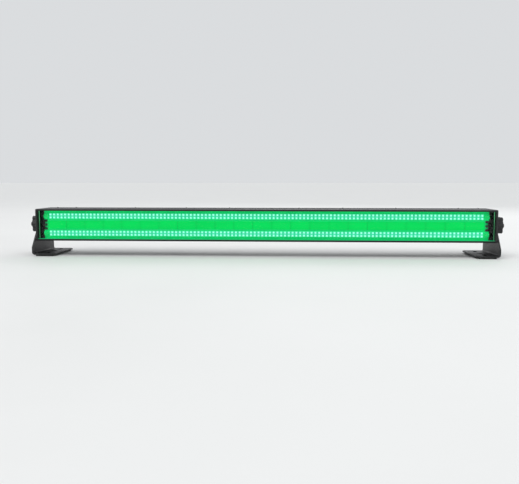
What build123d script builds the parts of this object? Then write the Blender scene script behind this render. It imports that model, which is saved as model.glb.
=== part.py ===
from build123d import *

import math
import os

# Stage LED batten, one metre long: two strips of RGB LEDs either side of a row of white cells.
# The bar runs along X and shines towards -Y. Every section is drawn about the tilt axis,
# then the whole fixture is lifted so that its two brackets stand on z = 0.
# All lengths are in millimetres.

# ---------------------------------------------------------------- driving dimensions
LED_PITCH = 8.25            # column to column along a strip
ROW_PITCH = 6.5             # row to row inside a strip
COLUMNS_PER_CELL = 5
CELLS = 23
STRIP_OFFSET = 19.0         # centre line of each RGB strip from the tilt axis

PROFILE_LENGTH = 992.0
GASKET = 1.0
CAP = 3.0                   # end cap thickness
BODY_HEIGHT = 70.0
BODY_CORNER_R = 2.0
FRONT_Y = -46.0
REAR_EDGE_Y = 44.5          # where the extrusion ends and the rear cover starts
REAR_FACE_Y = 46.0
AXIS_HEIGHT = 68.0          # tilt axis above the floor
APERTURE_HALF = 31.0        # half the opening between the front lips
CHANNEL_HALF = 32.5         # half the channel that holds the window
BAY_HALF = 30.5             # half the height inside the electronics bay
BOSS = 5.0                  # square bosses that take the end cap screws
BOSS_Y = (-26.0, 37.5)
GROOVES = 13                # cooling grooves above and below
GROOVE_Y = -21.0
GROOVE_PITCH = 4.4
GROOVE_WIDTH = 2.2
GROOVE_DEPTH = 2.0

COVER_T = 3.0               # clear front window
COVER_FRONT_Y = -44.0
COVER_HALF = 32.3
SEAL_T = 1.0                # strip seal behind the window
SEAL_RIB = 1.5              # rib of the extrusion that the seal bears on
WEB_FRONT_Y = -31.0         # face that carries the LED boards
WEB_REAR_Y = -26.0
BOARD_T = 1.6
BOARD_HALF_LENGTH = 485.0
STRIP_BOARD_HEIGHT = 14.0
WHITE_BOARD_HEIGHT = 22.0
LED_SIZE = 5.0
LED_HEIGHT = 1.6
TRAY_FRONT_Y = -38.0
DIFFUSER_T = 1.2
DIFFUSER_HALF = 8.7
BOARD_SCREW_X = 479.0
CONNECTOR_X0, CONNECTOR_X1 = 482.4, 484.9
CONNECTOR_H = 4.0
CABLE_HOLE_X = 490.0        # leads pass through the web here
CABLE_HOLE_R = 3.0

SCREW_R = 1.45              # M3 shank
SCREW_HOLE_R = 1.5          # M3 tapped hole, drawn at its major diameter
CLEAR_HOLE_R = 1.6          # M3 clearance hole
PAN_HEAD_R = 2.9
PAN_HEAD_H = 2.0
SINK_DEPTH = 1.5            # countersunk heads of the end cap screws
COVER_SCREW_Z = 32.6

STUD_R = 3.95               # M8 stud of the tilt knob
NUT_BORE_R = 4.0
ARM_BORE_R = 4.05
ARM_T = 3.0                 # bracket steel
PAD_T = 3.0
FOOT_REACH = 50.0
FOOT_HALF_DEPTH = 60.0
CLAMP_HOLE_R = 6.5          # M12 clamp bolt
CLAMP_INSET = 27.0          # clamp hole from the outer face of the arm
SLOT_SPACING = 70.0
SLOT_LENGTH = 22.0
SLOT_WIDTH = 8.5
WASHER_R = 15.0
PIVOT_HOLE_R = 4.5

FAN_X = 250.0
FAN_SIZE = 50.0
FAN_DEPTH = 15.0
FAN_BORE_R = 23.8
FAN_OPENING_R = 23.0
FAN_HOLE = 20.0             # mounting holes from the fan's axes
GUARD_T = 1.2

DATA_IN_X, DATA_OUT_X = -420.0, -384.0
POWER_IN_X, POWER_OUT_X = 384.0, 420.0
SOCKET_BODY_R = 11.8
SOCKET_CUT_R = 12.1
SOCKET_INNER_Y = 24.0       # inner end of a connector body
SOCKET_FLOOR_Y = 30.0       # floor of a connector's well
TAIL_Y = 20.0               # solder tails end here
FLANGE_T = 2.0
PIN_ANGLES = (30, 150, 270)
PIN_CIRCLE_R = 4.6
PIN_R = 1.2
SLEEVE_R = 1.6
BLADE_CIRCLE_R = 5.6
BLADE_HALF_T, BLADE_HALF_W = 0.7, 2.2
FUSE_X = 352.0
FUSE_END_Y = 39.2
FUSE_BODY_R = 6.4
PSU_HALF = 110.0
STANDOFF_H = 6.0
PSU_REAR_Y = 20.0
DRIVER_X0, DRIVER_X1 = 140.0, 328.0
DRIVER_HALF = 23.0
DISPLAY_X0, DISPLAY_X1 = -4.3, 46.0
BUTTON_X = (-16.0, -27.0, -38.0, -49.0)
BUTTON_R = 3.6
BUTTON_TRAVEL = 0.8
CONTROL_Y = 35.0            # inner face of the control board
SWITCH_TOP_Y = 41.0
PANEL_T = 2.6
PANEL_WIDTH, PANEL_HEIGHT = 124.0, 44.0
DISPLAY_HALF = 9.5
WINDOW_T = 1.5

EYE_BASE_T = 2.5
EYE_HOLE_Y = 53.0
EYE_HOLE_R = 4.5
EYE_TOP = 34.0
EYE_SCREW_X, EYE_SCREW_Z = 10.0, 27.0

# ---------------------------------------------------------------- derived sizes
LED_COLUMNS = CELLS * COLUMNS_PER_CELL
CELL = COLUMNS_PER_CELL * LED_PITCH
HALF_PROFILE = PROFILE_LENGTH / 2
CAP_INNER_X = HALF_PROFILE + GASKET
CAP_OUTER_X = CAP_INNER_X + CAP
HALF_H = BODY_HEIGHT / 2
COVER_BACK_Y = COVER_FRONT_Y + COVER_T
BOARD_FRONT_Y = WEB_FRONT_Y - BOARD_T
CELLS_HALF = CELLS * CELL / 2
STRIP_CENTRES = (-STRIP_OFFSET, 0.0, STRIP_OFFSET)
COVER_SCREWS = [
    (side * x, z)
    for x in (80, 180, 300, 440, 484)
    for side in (-1, 1)
    for z in (-COVER_SCREW_Z, COVER_SCREW_Z)
]
CAP_SCREWS = [(y, z) for y in (-23.5, 40.0) for z in (-28.0, 28.0)]
D_SCREWS = ((-9.5, 12.0), (9.5, -12.0))
PANEL_SCREWS = [(x, z) for x in (-57.5, 57.5) for z in (-18.0, 18.0)]
DRIVER_HOLES = [(x, z) for x in (DRIVER_X0 + 4, DRIVER_X1 - 4) for z in (-19.0, 19.0)]
FAN_HOLES = [(x, z) for x in (-FAN_HOLE, FAN_HOLE) for z in (-FAN_HOLE, FAN_HOLE)]
FAN_FRONT_Y = REAR_EDGE_Y - FAN_DEPTH
SOCKET_MOUTH_Y = REAR_FACE_Y + FLANGE_T
ARM_INNER_X = CAP_OUTER_X + 1.0
ARM_OUTER_X = ARM_INNER_X + ARM_T
FOOT_LOW = PAD_T - AXIS_HEIGHT
FOOT_HIGH = FOOT_LOW + ARM_T
CLAMP_X = ARM_OUTER_X - CLAMP_INSET
KNOB_INNER_X = ARM_OUTER_X + 1.5


# ---------------------------------------------------------------- small helpers
def block(x0, x1, y0, y1, z0, z1):
    """A box from its two corners."""
    size = Box(abs(x1 - x0), abs(y1 - y0), abs(z1 - z0))
    return Pos((x0 + x1) / 2, (y0 + y1) / 2, (z0 + z1) / 2) * size


def rod_x(x0, x1, y, z, r):
    """A cylinder along X."""
    return Pos((x0 + x1) / 2, y, z) * Rot(0, 90, 0) * Cylinder(r, abs(x1 - x0))


def rod_y(x, y0, y1, z, r):
    """A cylinder along Y."""
    return Pos(x, (y0 + y1) / 2, z) * Rot(90, 0, 0) * Cylinder(r, abs(y1 - y0))


def rod_z(x, y, z0, z1, r):
    """A cylinder along Z."""
    return Pos(x, y, (z0 + z1) / 2) * Cylinder(r, abs(z1 - z0))


def patch(y0, y1, z0, z1):
    """A rectangle of the bar's cross-section."""
    return Pos((y0 + y1) / 2, (z0 + z1) / 2) * Rectangle(abs(y1 - y0), abs(z1 - z0))


def along_x(section, x0, x1):
    """Extrudes a cross-section drawn in (y, z) from x0 to x1."""
    return Pos(x0, 0, 0) * extrude(Plane.YZ * section, amount=x1 - x0)


def along_y(face, y0, y1):
    """Extrudes a face drawn in (x, z) from y0 to y1."""
    plane = Plane(origin=(0, y0, 0), x_dir=(1, 0, 0), z_dir=(0, -1, 0))
    return extrude(plane * face, amount=-(y1 - y0))


def left_of(shape):
    """The same piece at the other end of the bar."""
    return mirror(shape, about=Plane.YZ)


def group(shapes):
    """Several separate solids that share one node."""
    return Compound([solid for shape in shapes for solid in shape.solids()])


def cross_recess(x, y, z):
    """Two crossed slots, to cut from a screw head; y is their middle depth."""
    return [Pos(x, y, z) * Rot(0, turn, 0) * Box(3.2, 1.0, 0.7) for turn in (0, 90)]


def pan_screw_rear(x, z, head_y, length):
    """M3 pan-head screw driven in from the rear, with a cross recess."""
    top = head_y + PAN_HEAD_H
    screw = rod_y(x, head_y, top, z, PAN_HEAD_R)
    screw += rod_y(x, head_y - length, head_y, z, SCREW_R)
    return screw - cross_recess(x, top - 0.5, z)


# ---------------------------------------------------------------- housing
def body_section():
    """The extrusion: light chamber in front, web, electronics bay behind, cooling grooves."""
    depth = REAR_EDGE_Y - FRONT_Y
    middle = (REAR_EDGE_Y + FRONT_Y) / 2
    section = Pos(middle, 0) * RectangleRounded(depth, BODY_HEIGHT, BODY_CORNER_R)
    section -= patch(FRONT_Y - 1, WEB_FRONT_Y, -APERTURE_HALF, APERTURE_HALF)
    seal_y = COVER_BACK_Y + SEAL_T
    section -= patch(COVER_FRONT_Y, seal_y, -CHANNEL_HALF, CHANNEL_HALF)
    section -= patch(seal_y + SEAL_RIB, WEB_FRONT_Y, -CHANNEL_HALF, CHANNEL_HALF)
    section -= patch(WEB_REAR_Y, REAR_EDGE_Y + 1, -BAY_HALF, BAY_HALF)
    for y in BOSS_Y:
        for side in (-1, 1):
            section += patch(y, y + BOSS, side * (BAY_HALF - BOSS), side * BAY_HALF)
    for i in range(GROOVES):
        y = GROOVE_Y + i * GROOVE_PITCH
        for side in (-1, 1):
            groove = patch(y, y + GROOVE_WIDTH, side * (HALF_H - GROOVE_DEPTH), side * (HALF_H + 1))
            section -= groove
    return section


def housing_extrusion():
    body = along_x(body_section(), -HALF_PROFILE, HALF_PROFILE)
    cuts = []
    for x, z in COVER_SCREWS:
        cuts.append(rod_y(x, REAR_EDGE_Y - 7.5, REAR_EDGE_Y + 1, z, SCREW_HOLE_R))
    for y, z in CAP_SCREWS:
        for x in (-HALF_PROFILE, HALF_PROFILE):
            cuts.append(rod_x(x - 12, x + 12, y, z, SCREW_HOLE_R))
    for side in (-1, 1):
        hole_x, screw_x = side * CABLE_HOLE_X, side * BOARD_SCREW_X
        for z in STRIP_CENTRES:
            cuts.append(rod_y(hole_x, WEB_FRONT_Y - 1, WEB_REAR_Y + 1, z, CABLE_HOLE_R))
            cuts.append(rod_y(screw_x, WEB_FRONT_Y - 1, WEB_REAR_Y - 0.5, z, SCREW_HOLE_R))
    return body - cuts


def end_cap():
    """Plate with rounded corners, the pivot hole and four countersunk holes."""
    outline = RectangleRounded(REAR_FACE_Y - FRONT_Y, BODY_HEIGHT, 3.0)
    cap = along_x(outline, CAP_INNER_X, CAP_OUTER_X)
    cap = chamfer(cap.faces().sort_by(Axis.X)[-1].edges(), 0.6)
    cap -= rod_x(CAP_INNER_X - 1, CAP_OUTER_X + 1, 0, 0, PIVOT_HOLE_R)
    sink = Rot(0, 90, 0) * Cone(CLEAR_HOLE_R, 3.1, SINK_DEPTH)
    for y, z in CAP_SCREWS:
        cap -= rod_x(CAP_INNER_X - 1, CAP_OUTER_X + 1, y, z, CLEAR_HOLE_R)
        cap -= Pos(CAP_OUTER_X - SINK_DEPTH / 2, y, z) * sink
    return cap


def end_gasket():
    """Rubber frame that follows the end of the extrusion."""
    edge, inner_half = 0.5, 30.0
    low, high = FRONT_Y + edge, REAR_EDGE_Y - edge
    ring = Pos((low + high) / 2, 0) * RectangleRounded(high - low, BODY_HEIGHT - 2 * edge, 2.0)
    ring -= patch(-38.0, -33.0, -inner_half, inner_half)
    ring -= patch(-25.0, 43.0, -inner_half, inner_half)
    for side in (-1, 1):
        ring += patch(-26.5, -20.5, side * 25.0, side * 31.0)
        ring += patch(37.0, 43.5, side * 25.0, side * 31.0)
    frame = along_x(ring, HALF_PROFILE, CAP_INNER_X)
    for y, z in CAP_SCREWS:
        frame -= rod_x(HALF_PROFILE - 1, CAP_INNER_X + 1, y, z, CLEAR_HOLE_R)
    return frame


def end_cap_screws():
    """Countersunk M3 screws, flush with the caps."""
    screws = []
    for y, z in CAP_SCREWS:
        screw = rod_x(HALF_PROFILE - 9, CAP_OUTER_X - SINK_DEPTH, y, z, SCREW_R)
        head = Rot(0, 90, 0) * Cone(SCREW_R, 3.0, SINK_DEPTH)
        screw += Pos(CAP_OUTER_X - SINK_DEPTH / 2, y, z) * head
        for turn in (0, 90):
            screw -= Pos(CAP_OUTER_X - 0.4, y, z) * Rot(turn, 0, 0) * Box(0.8, 3.0, 0.7)
        screws += [screw, left_of(screw)]
    return group(screws)


def rear_cover():
    """Sheet with openings for the panel, fans, connectors and fuse, and two fields of vents."""
    outline = RectangleRounded(2 * CAP_INNER_X - 1, BODY_HEIGHT - 1, 1.5)
    plate = along_y(outline, REAR_EDGE_Y, REAR_FACE_Y)
    low, high = REAR_EDGE_Y - 1, REAR_FACE_Y + 1
    cuts = [block(-54, 54, low, high, -15, 15)]
    for x in (-FAN_X, FAN_X):
        cuts.append(rod_y(x, low, high, 0, FAN_OPENING_R))
        cuts += [rod_y(x + a, low, high, b, CLEAR_HOLE_R) for a, b in FAN_HOLES]
    for x in (DATA_IN_X, DATA_OUT_X, POWER_IN_X, POWER_OUT_X):
        cuts.append(rod_y(x, low, high, 0, SOCKET_CUT_R))
        cuts += [rod_y(x + a, low, high, b, SCREW_HOLE_R) for a, b in D_SCREWS]
    cuts.append(rod_y(FUSE_X, low, high, 0, FUSE_BODY_R + 0.2))
    cuts += [rod_y(x, low, high, z, CLEAR_HOLE_R) for x, z in COVER_SCREWS]
    cuts += [rod_y(x, low, high, EYE_SCREW_Z, SCREW_HOLE_R) for x in (-EYE_SCREW_X, EYE_SCREW_X)]
    cuts += [rod_y(x, low, high, z, SCREW_HOLE_R) for x, z in PANEL_SCREWS]
    vent_count, vent_pitch, vent_x = 11, 7.0, 100.0
    slot = along_y(SlotOverall(34, 3, rotation=90), low, high)
    for side in (-1, 1):
        cuts += [Pos(side * (vent_x + i * vent_pitch), 0, 0) * slot for i in range(vent_count)]
    return plate - cuts


def rear_cover_screws():
    return group(pan_screw_rear(x, z, REAR_FACE_Y, 7.0) for x, z in COVER_SCREWS)


# ---------------------------------------------------------------- front window
def front_cover():
    return block(
        -HALF_PROFILE, HALF_PROFILE, COVER_FRONT_Y, COVER_BACK_Y, -COVER_HALF, COVER_HALF
    )


def seals():
    """Two strips behind the window and a frame at each end of the extrusion."""
    low, high = COVER_BACK_Y, COVER_BACK_Y + SEAL_T
    strips = [
        block(-HALF_PROFILE, HALF_PROFILE, low, high, side * APERTURE_HALF, side * 32.4)
        for side in (-1, 1)
    ]
    frame = end_gasket()
    return group([*strips, frame, left_of(frame)])


# ---------------------------------------------------------------- light engine
def led_board(low, high, centre):
    """Aluminium-backed board with a screw hole and a plug-in connector at each end."""
    bare = block(-BOARD_HALF_LENGTH, BOARD_HALF_LENGTH, BOARD_FRONT_Y, WEB_FRONT_Y, low, high)
    hole = rod_y(BOARD_SCREW_X, BOARD_FRONT_Y - 1, WEB_FRONT_Y + 1, centre, CLEAR_HOLE_R)
    bare -= [hole, left_of(hole)]
    plug_y, half = BOARD_FRONT_Y - CONNECTOR_H, 3.5
    plug = block(CONNECTOR_X0, CONNECTOR_X1, plug_y, BOARD_FRONT_Y, centre - half, centre + half)
    return group([bare, plug, left_of(plug)])


def strip_board():
    half = STRIP_BOARD_HEIGHT / 2
    return led_board(STRIP_OFFSET - half, STRIP_OFFSET + half, STRIP_OFFSET)


def column_x(i):
    return (i - (LED_COLUMNS - 1) / 2) * LED_PITCH


def strip_leds(side):
    """Square packages with a round well, two to a column."""
    front = BOARD_FRONT_Y - LED_HEIGHT
    half = LED_SIZE / 2
    package = block(-half, half, front, BOARD_FRONT_Y, -half, half)
    package -= rod_y(0, front - 1, front + 0.5, 0, 2.0)
    rows = (STRIP_OFFSET - ROW_PITCH / 2, STRIP_OFFSET + ROW_PITCH / 2)
    return group(
        Pos(column_x(i), 0, side * z) * package for i in range(LED_COLUMNS) for z in rows
    )


def white_board():
    return led_board(-WHITE_BOARD_HEIGHT / 2, WHITE_BOARD_HEIGHT / 2, 0.0)


def white_leds():
    """Small high-power packages, each with a domed lens."""
    base = block(-1.75, 1.75, BOARD_FRONT_Y - 0.8, BOARD_FRONT_Y, -1.75, 1.75)
    dome = Pos(0, BOARD_FRONT_Y - 0.5, 0) * Sphere(1.5)
    dome &= block(-2, 2, BOARD_FRONT_Y - 3, BOARD_FRONT_Y - 0.5, -2, 2)
    led = base + dome
    return group(Pos(column_x(i), 0, 0) * led for i in range(LED_COLUMNS))


def reflector_tray():
    """One moulded trough with a rib between each pair of cells."""
    back, front = BOARD_FRONT_Y, TRAY_FRONT_Y
    seat = front + DIFFUSER_T
    outline = Polyline((back, -11.5), (front, -10.3), (front, 10.3), (back, 11.5), close=True)
    well = Polyline((back, -5.6), (seat, -8.2), (seat, 8.2), (back, 5.6), close=True)
    ends = CELLS_HALF + 1.5
    tray = along_x(make_face(outline), -ends, ends)
    tray -= along_x(make_face(well), -CELLS_HALF, CELLS_HALF)
    seat_half = DIFFUSER_HALF + 0.1
    tray -= block(-CELLS_HALF, CELLS_HALF, front - 1, seat, -seat_half, seat_half)
    rib = 0.6
    ribs = [
        along_x(make_face(well), x - rib / 2, x + rib / 2)
        for x in (-CELLS_HALF + i * CELL for i in range(1, CELLS))
    ]
    tray += ribs
    for side in (-1, 1):
        tab = block(side * (ends - 1), side * 482.0, back - 2, back, -6, 6)
        tray += tab - rod_y(side * BOARD_SCREW_X, back - 3, back + 1, 0, CLEAR_HOLE_R)
    return tray


def diffuser_strip():
    back = TRAY_FRONT_Y + DIFFUSER_T
    return block(-CELLS_HALF, CELLS_HALF, TRAY_FRONT_Y, back, -DIFFUSER_HALF, DIFFUSER_HALF)


def board_screws():
    """M3 pan heads that hold the three boards and the tray to the web."""
    screws = []
    for x in (-BOARD_SCREW_X, BOARD_SCREW_X):
        for z, seat in ((-STRIP_OFFSET, 0), (0, 2.0), (STRIP_OFFSET, 0)):
            under = BOARD_FRONT_Y - seat
            screw = rod_y(x, under - PAN_HEAD_H, under, z, PAN_HEAD_R)
            screw += rod_y(x, under, WEB_REAR_Y - 1.2, z, SCREW_R)
            screws.append(screw - cross_recess(x, under - PAN_HEAD_H + 0.5, z))
    return group(screws)


# ---------------------------------------------------------------- electronics
def psu_case():
    """Folded sheet cage round the power supply, with vent slots in its rear."""
    half_height, sheet = 25.0, 1.2
    case = block(-PSU_HALF, PSU_HALF, WEB_REAR_Y, PSU_REAR_Y, -half_height, half_height)
    case -= block(
        sheet - PSU_HALF,
        PSU_HALF - sheet,
        WEB_REAR_Y + sheet,
        PSU_REAR_Y - sheet,
        sheet - half_height,
        half_height - sheet,
    )
    slots, slot_pitch = 15, 14.0
    slot = along_y(SlotOverall(40, 3, rotation=90), PSU_REAR_Y - 3, PSU_REAR_Y + 2)
    return case - [Pos((i - (slots - 1) / 2) * slot_pitch, 0, 0) * slot for i in range(slots)]


def psu_board():
    """Board, bulk capacitors, transformer, coils and heat sinks inside the cage."""
    floor = WEB_REAR_Y + 5.2
    board = block(-106, 106, floor, floor + BOARD_T, -23.5, 23.5)
    top = floor + BOARD_T
    pieces = [board]
    pieces += [rod_y(x, top, top + 28, z, 8.0) for x, z in ((-76, 12), (-76, -10), (-56, 12))]
    pieces += [rod_y(x, top, top + 20, z, 5.0) for x, z in ((72, 15), (84, 15), (96, 15), (84, -15))]
    pieces.append(block(-22, 14, top, top + 26, -17, 17))
    pieces.append(block(-100, -88, top, top + 18, -16, 16))
    pieces.append(block(-46, -30, top, top + 24, -20, 20))
    pieces.append(block(24, 30, top, top + 30, -21, 21))
    pieces.append(block(40, 62, top, top + 16, -12, 12))
    return group(pieces)


def driver_board():
    """Constant-current driver for half the bar: eight coils, their switches, two connectors."""
    floor = WEB_REAR_Y + STANDOFF_H
    top = floor + BOARD_T
    board = block(DRIVER_X0, DRIVER_X1, floor, top, -DRIVER_HALF, DRIVER_HALF)
    for x, z in DRIVER_HOLES:
        board -= rod_y(x, floor - 1, top + 1, z, CLEAR_HOLE_R)
    pieces = [board]
    channels, channel_pitch = 8, 19.0
    for i in range(channels):
        x = DRIVER_X0 + 22 + i * channel_pitch
        pieces.append(block(x - 6, x + 6, top, top + 6, 4, 16))
        pieces.append(rod_y(x, top, top + 10, -4, 4.0))
        pieces.append(block(x - 4, x + 4, top, top + 2.4, -17, -10))
    pieces.append(block(149, 153, top, top + 9, -20, -6))
    pieces.append(block(306, 314, top, top + 8, -17, 17))
    return group(pieces)


def board_standoffs():
    """Hexagon spacers shown round, each with its nut."""
    board_low = WEB_REAR_Y + STANDOFF_H
    board_high = board_low + BOARD_T
    posts = []
    for x, z in DRIVER_HOLES:
        post = rod_y(x, WEB_REAR_Y, board_low, z, 2.8)
        post += rod_y(x, board_low, board_high, z, SCREW_R)
        post += rod_y(x, board_high, board_high + 1.8, z, 2.6)
        posts += [post, left_of(post)]
    return group(posts)


def control_board():
    """Processor board behind the control panel, with the four switch bodies."""
    top = CONTROL_Y + BOARD_T
    board = block(-53, 52, CONTROL_Y, top, -14, 14)
    pieces = [board]
    pieces += [block(x - 3, x + 3, top, SWITCH_TOP_Y, -3, 3) for x in BUTTON_X]
    pieces.append(block(-48, -34, CONTROL_Y - 2.2, CONTROL_Y, -7, 7))
    pieces.append(block(-18, -6, CONTROL_Y - 9.0, CONTROL_Y, -10, 10))
    pieces.append(block(24, 44, CONTROL_Y - 7.0, CONTROL_Y, -12, -6))
    pieces.append(rod_y(12, CONTROL_Y - 8.0, CONTROL_Y, 6, 4.0))
    return group(pieces)


def display_module():
    """Four-digit seven-segment display."""
    low = CONTROL_Y + BOARD_T
    return block(DISPLAY_X0, DISPLAY_X1, low, 44.6, -DISPLAY_HALF, DISPLAY_HALF)


def control_panel():
    """Moulded bezel over the cut-out in the rear cover."""
    low, high = REAR_FACE_Y, REAR_FACE_Y + PANEL_T
    panel = along_y(RectangleRounded(PANEL_WIDTH, PANEL_HEIGHT, 4), low, high)
    panel = chamfer(panel.faces().sort_by(Axis.Y)[-1].edges(), 0.6)
    view_half, seat_half = DISPLAY_HALF + 0.1, DISPLAY_HALF + 2.1
    panel -= block(DISPLAY_X0, DISPLAY_X1, low - 1, high + 1, -view_half, view_half)
    seat = block(DISPLAY_X0 - 2, DISPLAY_X1 + 2, low - 1, low + WINDOW_T, -seat_half, seat_half)
    panel -= seat
    for x in BUTTON_X:
        panel -= rod_y(x, low - 1, high + 1, 0, BUTTON_R + 0.2)
    for x, z in PANEL_SCREWS:
        panel -= rod_y(x, low - 1, high + 1, z, CLEAR_HOLE_R)
    return panel


def display_window():
    x0, x1, half = DISPLAY_X0 - 1.9, DISPLAY_X1 + 1.9, DISPLAY_HALF + 2.0
    return block(x0, x1, REAR_FACE_Y, REAR_FACE_Y + WINDOW_T, -half, half)


def button(x):
    """Key cap, the flange that keeps it behind the panel, and the stem that meets the switch."""
    cap = rod_y(x, REAR_FACE_Y - 0.1, 50.0, 0, BUTTON_R)
    cap = chamfer(cap.faces().sort_by(Axis.Y)[-1].edges(), 0.5)
    cap += rod_y(x, 44.5, REAR_FACE_Y - 0.1, 0, BUTTON_R + 0.9)
    return cap + rod_y(x, SWITCH_TOP_Y + BUTTON_TRAVEL + 0.1, 44.5, 0, 1.8)


def socket_shell(x):
    """Flange and barrel that all four connectors share."""
    face = Pos(x, 0) * RectangleRounded(26, 31, 3)
    shell = along_y(face, REAR_FACE_Y, SOCKET_MOUTH_Y)
    for a, b in D_SCREWS:
        shell -= rod_y(x + a, REAR_FACE_Y - 1, SOCKET_MOUTH_Y + 1, b, CLEAR_HOLE_R)
    return shell + rod_y(x, SOCKET_INNER_Y, REAR_FACE_Y, 0, SOCKET_BODY_R)


def floor_hole(x, z, r):
    """Bore through the floor of a connector's well."""
    return rod_y(x, SOCKET_INNER_Y - 1, SOCKET_FLOOR_Y + 1, z, r)


def pin_places(x, r=PIN_CIRCLE_R):
    return [
        (x + r * math.cos(math.radians(a)), r * math.sin(math.radians(a))) for a in PIN_ANGLES
    ]


def data_in_socket():
    """Chassis plug for the incoming data lead: a round well with three pins."""
    x = DATA_IN_X
    body = socket_shell(x) - rod_y(x, SOCKET_FLOOR_Y, SOCKET_MOUTH_Y + 1, 0, 9.6)
    body += block(x - 1.2, x + 1.2, SOCKET_FLOOR_Y, 44, -9.7, -8.4)
    return body - [floor_hole(px, pz, PIN_R) for px, pz in pin_places(x)]


def data_out_socket():
    """Shell of the chassis socket for the outgoing data lead."""
    x = DATA_OUT_X
    body = socket_shell(x) - rod_y(x, SOCKET_FLOOR_Y, SOCKET_MOUTH_Y + 1, 0, 9.8)
    body -= [floor_hole(px, pz, SLEEVE_R) for px, pz in pin_places(x)]
    return body - block(x - 3.7, x + 3.7, REAR_FACE_Y - 1, SOCKET_MOUTH_Y + 1, 11.4, 14.6)


def data_out_core():
    """Insert of the outgoing data socket, with three contact holes."""
    low, high = SOCKET_FLOOR_Y, SOCKET_MOUTH_Y - 0.4
    core = rod_y(DATA_OUT_X, low, high, 0, 7.6)
    for px, pz in pin_places(DATA_OUT_X):
        core -= rod_y(px, low - 1, high + 1, pz, SLEEVE_R)
    return core


def data_out_latch():
    """Thumb plate that frees the data lead."""
    x = DATA_OUT_X
    plate = block(x - 3.5, x + 3.5, REAR_FACE_Y + 1.4, REAR_FACE_Y + 4.6, 11.6, 14.4)
    return chamfer(plate.faces().sort_by(Axis.Y)[-1].edges(), 0.5)


def blades(x, low, high):
    """The three flat contacts of a mains connector."""
    places = pin_places(x, BLADE_CIRCLE_R)
    t, w = BLADE_HALF_T, BLADE_HALF_W
    return [block(px - t, px + t, low, high, pz - w, pz + w) for px, pz in places]


def power_socket(x):
    """Twist-lock mains chassis connector: a deep well with two locking notches."""
    body = socket_shell(x) - rod_y(x, SOCKET_FLOOR_Y, SOCKET_MOUTH_Y + 1, 0, 10.0)
    for side in (-1, 1):
        body -= block(x + side * 9, x + side * 11, 38, SOCKET_MOUTH_Y + 1, -2, 2)
    return body - blades(x, SOCKET_INNER_Y - 1, SOCKET_FLOOR_Y + 1)


def connector_contacts():
    """Pins, sleeves and blades of the four connectors, with their solder tails."""
    pieces = [rod_y(px, TAIL_Y, 43, pz, PIN_R) for px, pz in pin_places(DATA_IN_X)]
    for px, pz in pin_places(DATA_OUT_X):
        sleeve = rod_y(px, TAIL_Y, 42, pz, SLEEVE_R) - rod_y(px, 28, 43, pz, PIN_R)
        pieces.append(sleeve)
    for x in (POWER_IN_X, POWER_OUT_X):
        pieces += blades(x, TAIL_Y, 42)
    return group(pieces)


def panel_screws():
    """M3 pan heads of the connectors, control panel and safety eye."""
    screws = []
    for x in (DATA_IN_X, DATA_OUT_X, POWER_IN_X, POWER_OUT_X):
        screws += [pan_screw_rear(x + a, b, SOCKET_MOUTH_Y, 7.0) for a, b in D_SCREWS]
    screws += [pan_screw_rear(x, z, REAR_FACE_Y + PANEL_T, 7.0) for x, z in PANEL_SCREWS]
    for x in (-EYE_SCREW_X, EYE_SCREW_X):
        screws.append(pan_screw_rear(x, EYE_SCREW_Z, REAR_FACE_Y + EYE_BASE_T, 5.0))
    return group(screws)


def fuse_holder():
    body = rod_y(FUSE_X, 14, REAR_FACE_Y, 0, FUSE_BODY_R)
    body += rod_y(FUSE_X, REAR_FACE_Y, 48, 0, 8.5)
    return body - rod_y(FUSE_X, 17, 49, 0, 4.3)


def fuse_cartridge():
    return rod_y(FUSE_X, FUSE_END_Y - 20, FUSE_END_Y, 0, 2.6)


def fuse_cap():
    """Bayonet cap with a finger slot; the fuse's end sits in its hollow stem."""
    cap = rod_y(FUSE_X, 48.1, 54.5, 0, 6.6)
    cap = chamfer(cap.faces().sort_by(Axis.Y)[-1].edges(), 0.6)
    for i in range(16):
        angle = math.radians(i * 22.5)
        cap -= rod_y(FUSE_X + 6.9 * math.cos(angle), 47, 56, 6.9 * math.sin(angle), 0.7)
    cap -= Pos(FUSE_X, 54.2, 0) * Box(9, 1.4, 1.4)
    cap += rod_y(FUSE_X, 36, 48.1, 0, 4.2)
    return cap - rod_y(FUSE_X, 35, FUSE_END_Y, 0, 2.65)


# ---------------------------------------------------------------- fans
def fan_frame():
    """Square frame with four struts that carry the motor hub."""
    x = FAN_X
    frame = along_y(Pos(x, 0) * RectangleRounded(FAN_SIZE, FAN_SIZE, 3), FAN_FRONT_Y, REAR_EDGE_Y)
    frame -= rod_y(x, FAN_FRONT_Y - 1, REAR_EDGE_Y + 1, 0, FAN_BORE_R)
    for a, b in FAN_HOLES:
        frame -= rod_y(x + a, FAN_FRONT_Y - 1, REAR_EDGE_Y + 1, b, SCREW_HOLE_R)
    hub = rod_y(x, FAN_FRONT_Y, FAN_FRONT_Y + 2, 0, 11.0)
    for turn in (35, 125, 215, 305):
        hub += Pos(x, FAN_FRONT_Y + 1, 0) * Rot(0, turn, 0) * Pos(17.5, 0, 0) * Box(14, 2, 2.4)
    hub -= rod_y(x, FAN_FRONT_Y - 1, FAN_FRONT_Y + 3, 0, 1.55)
    return frame + hub


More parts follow.
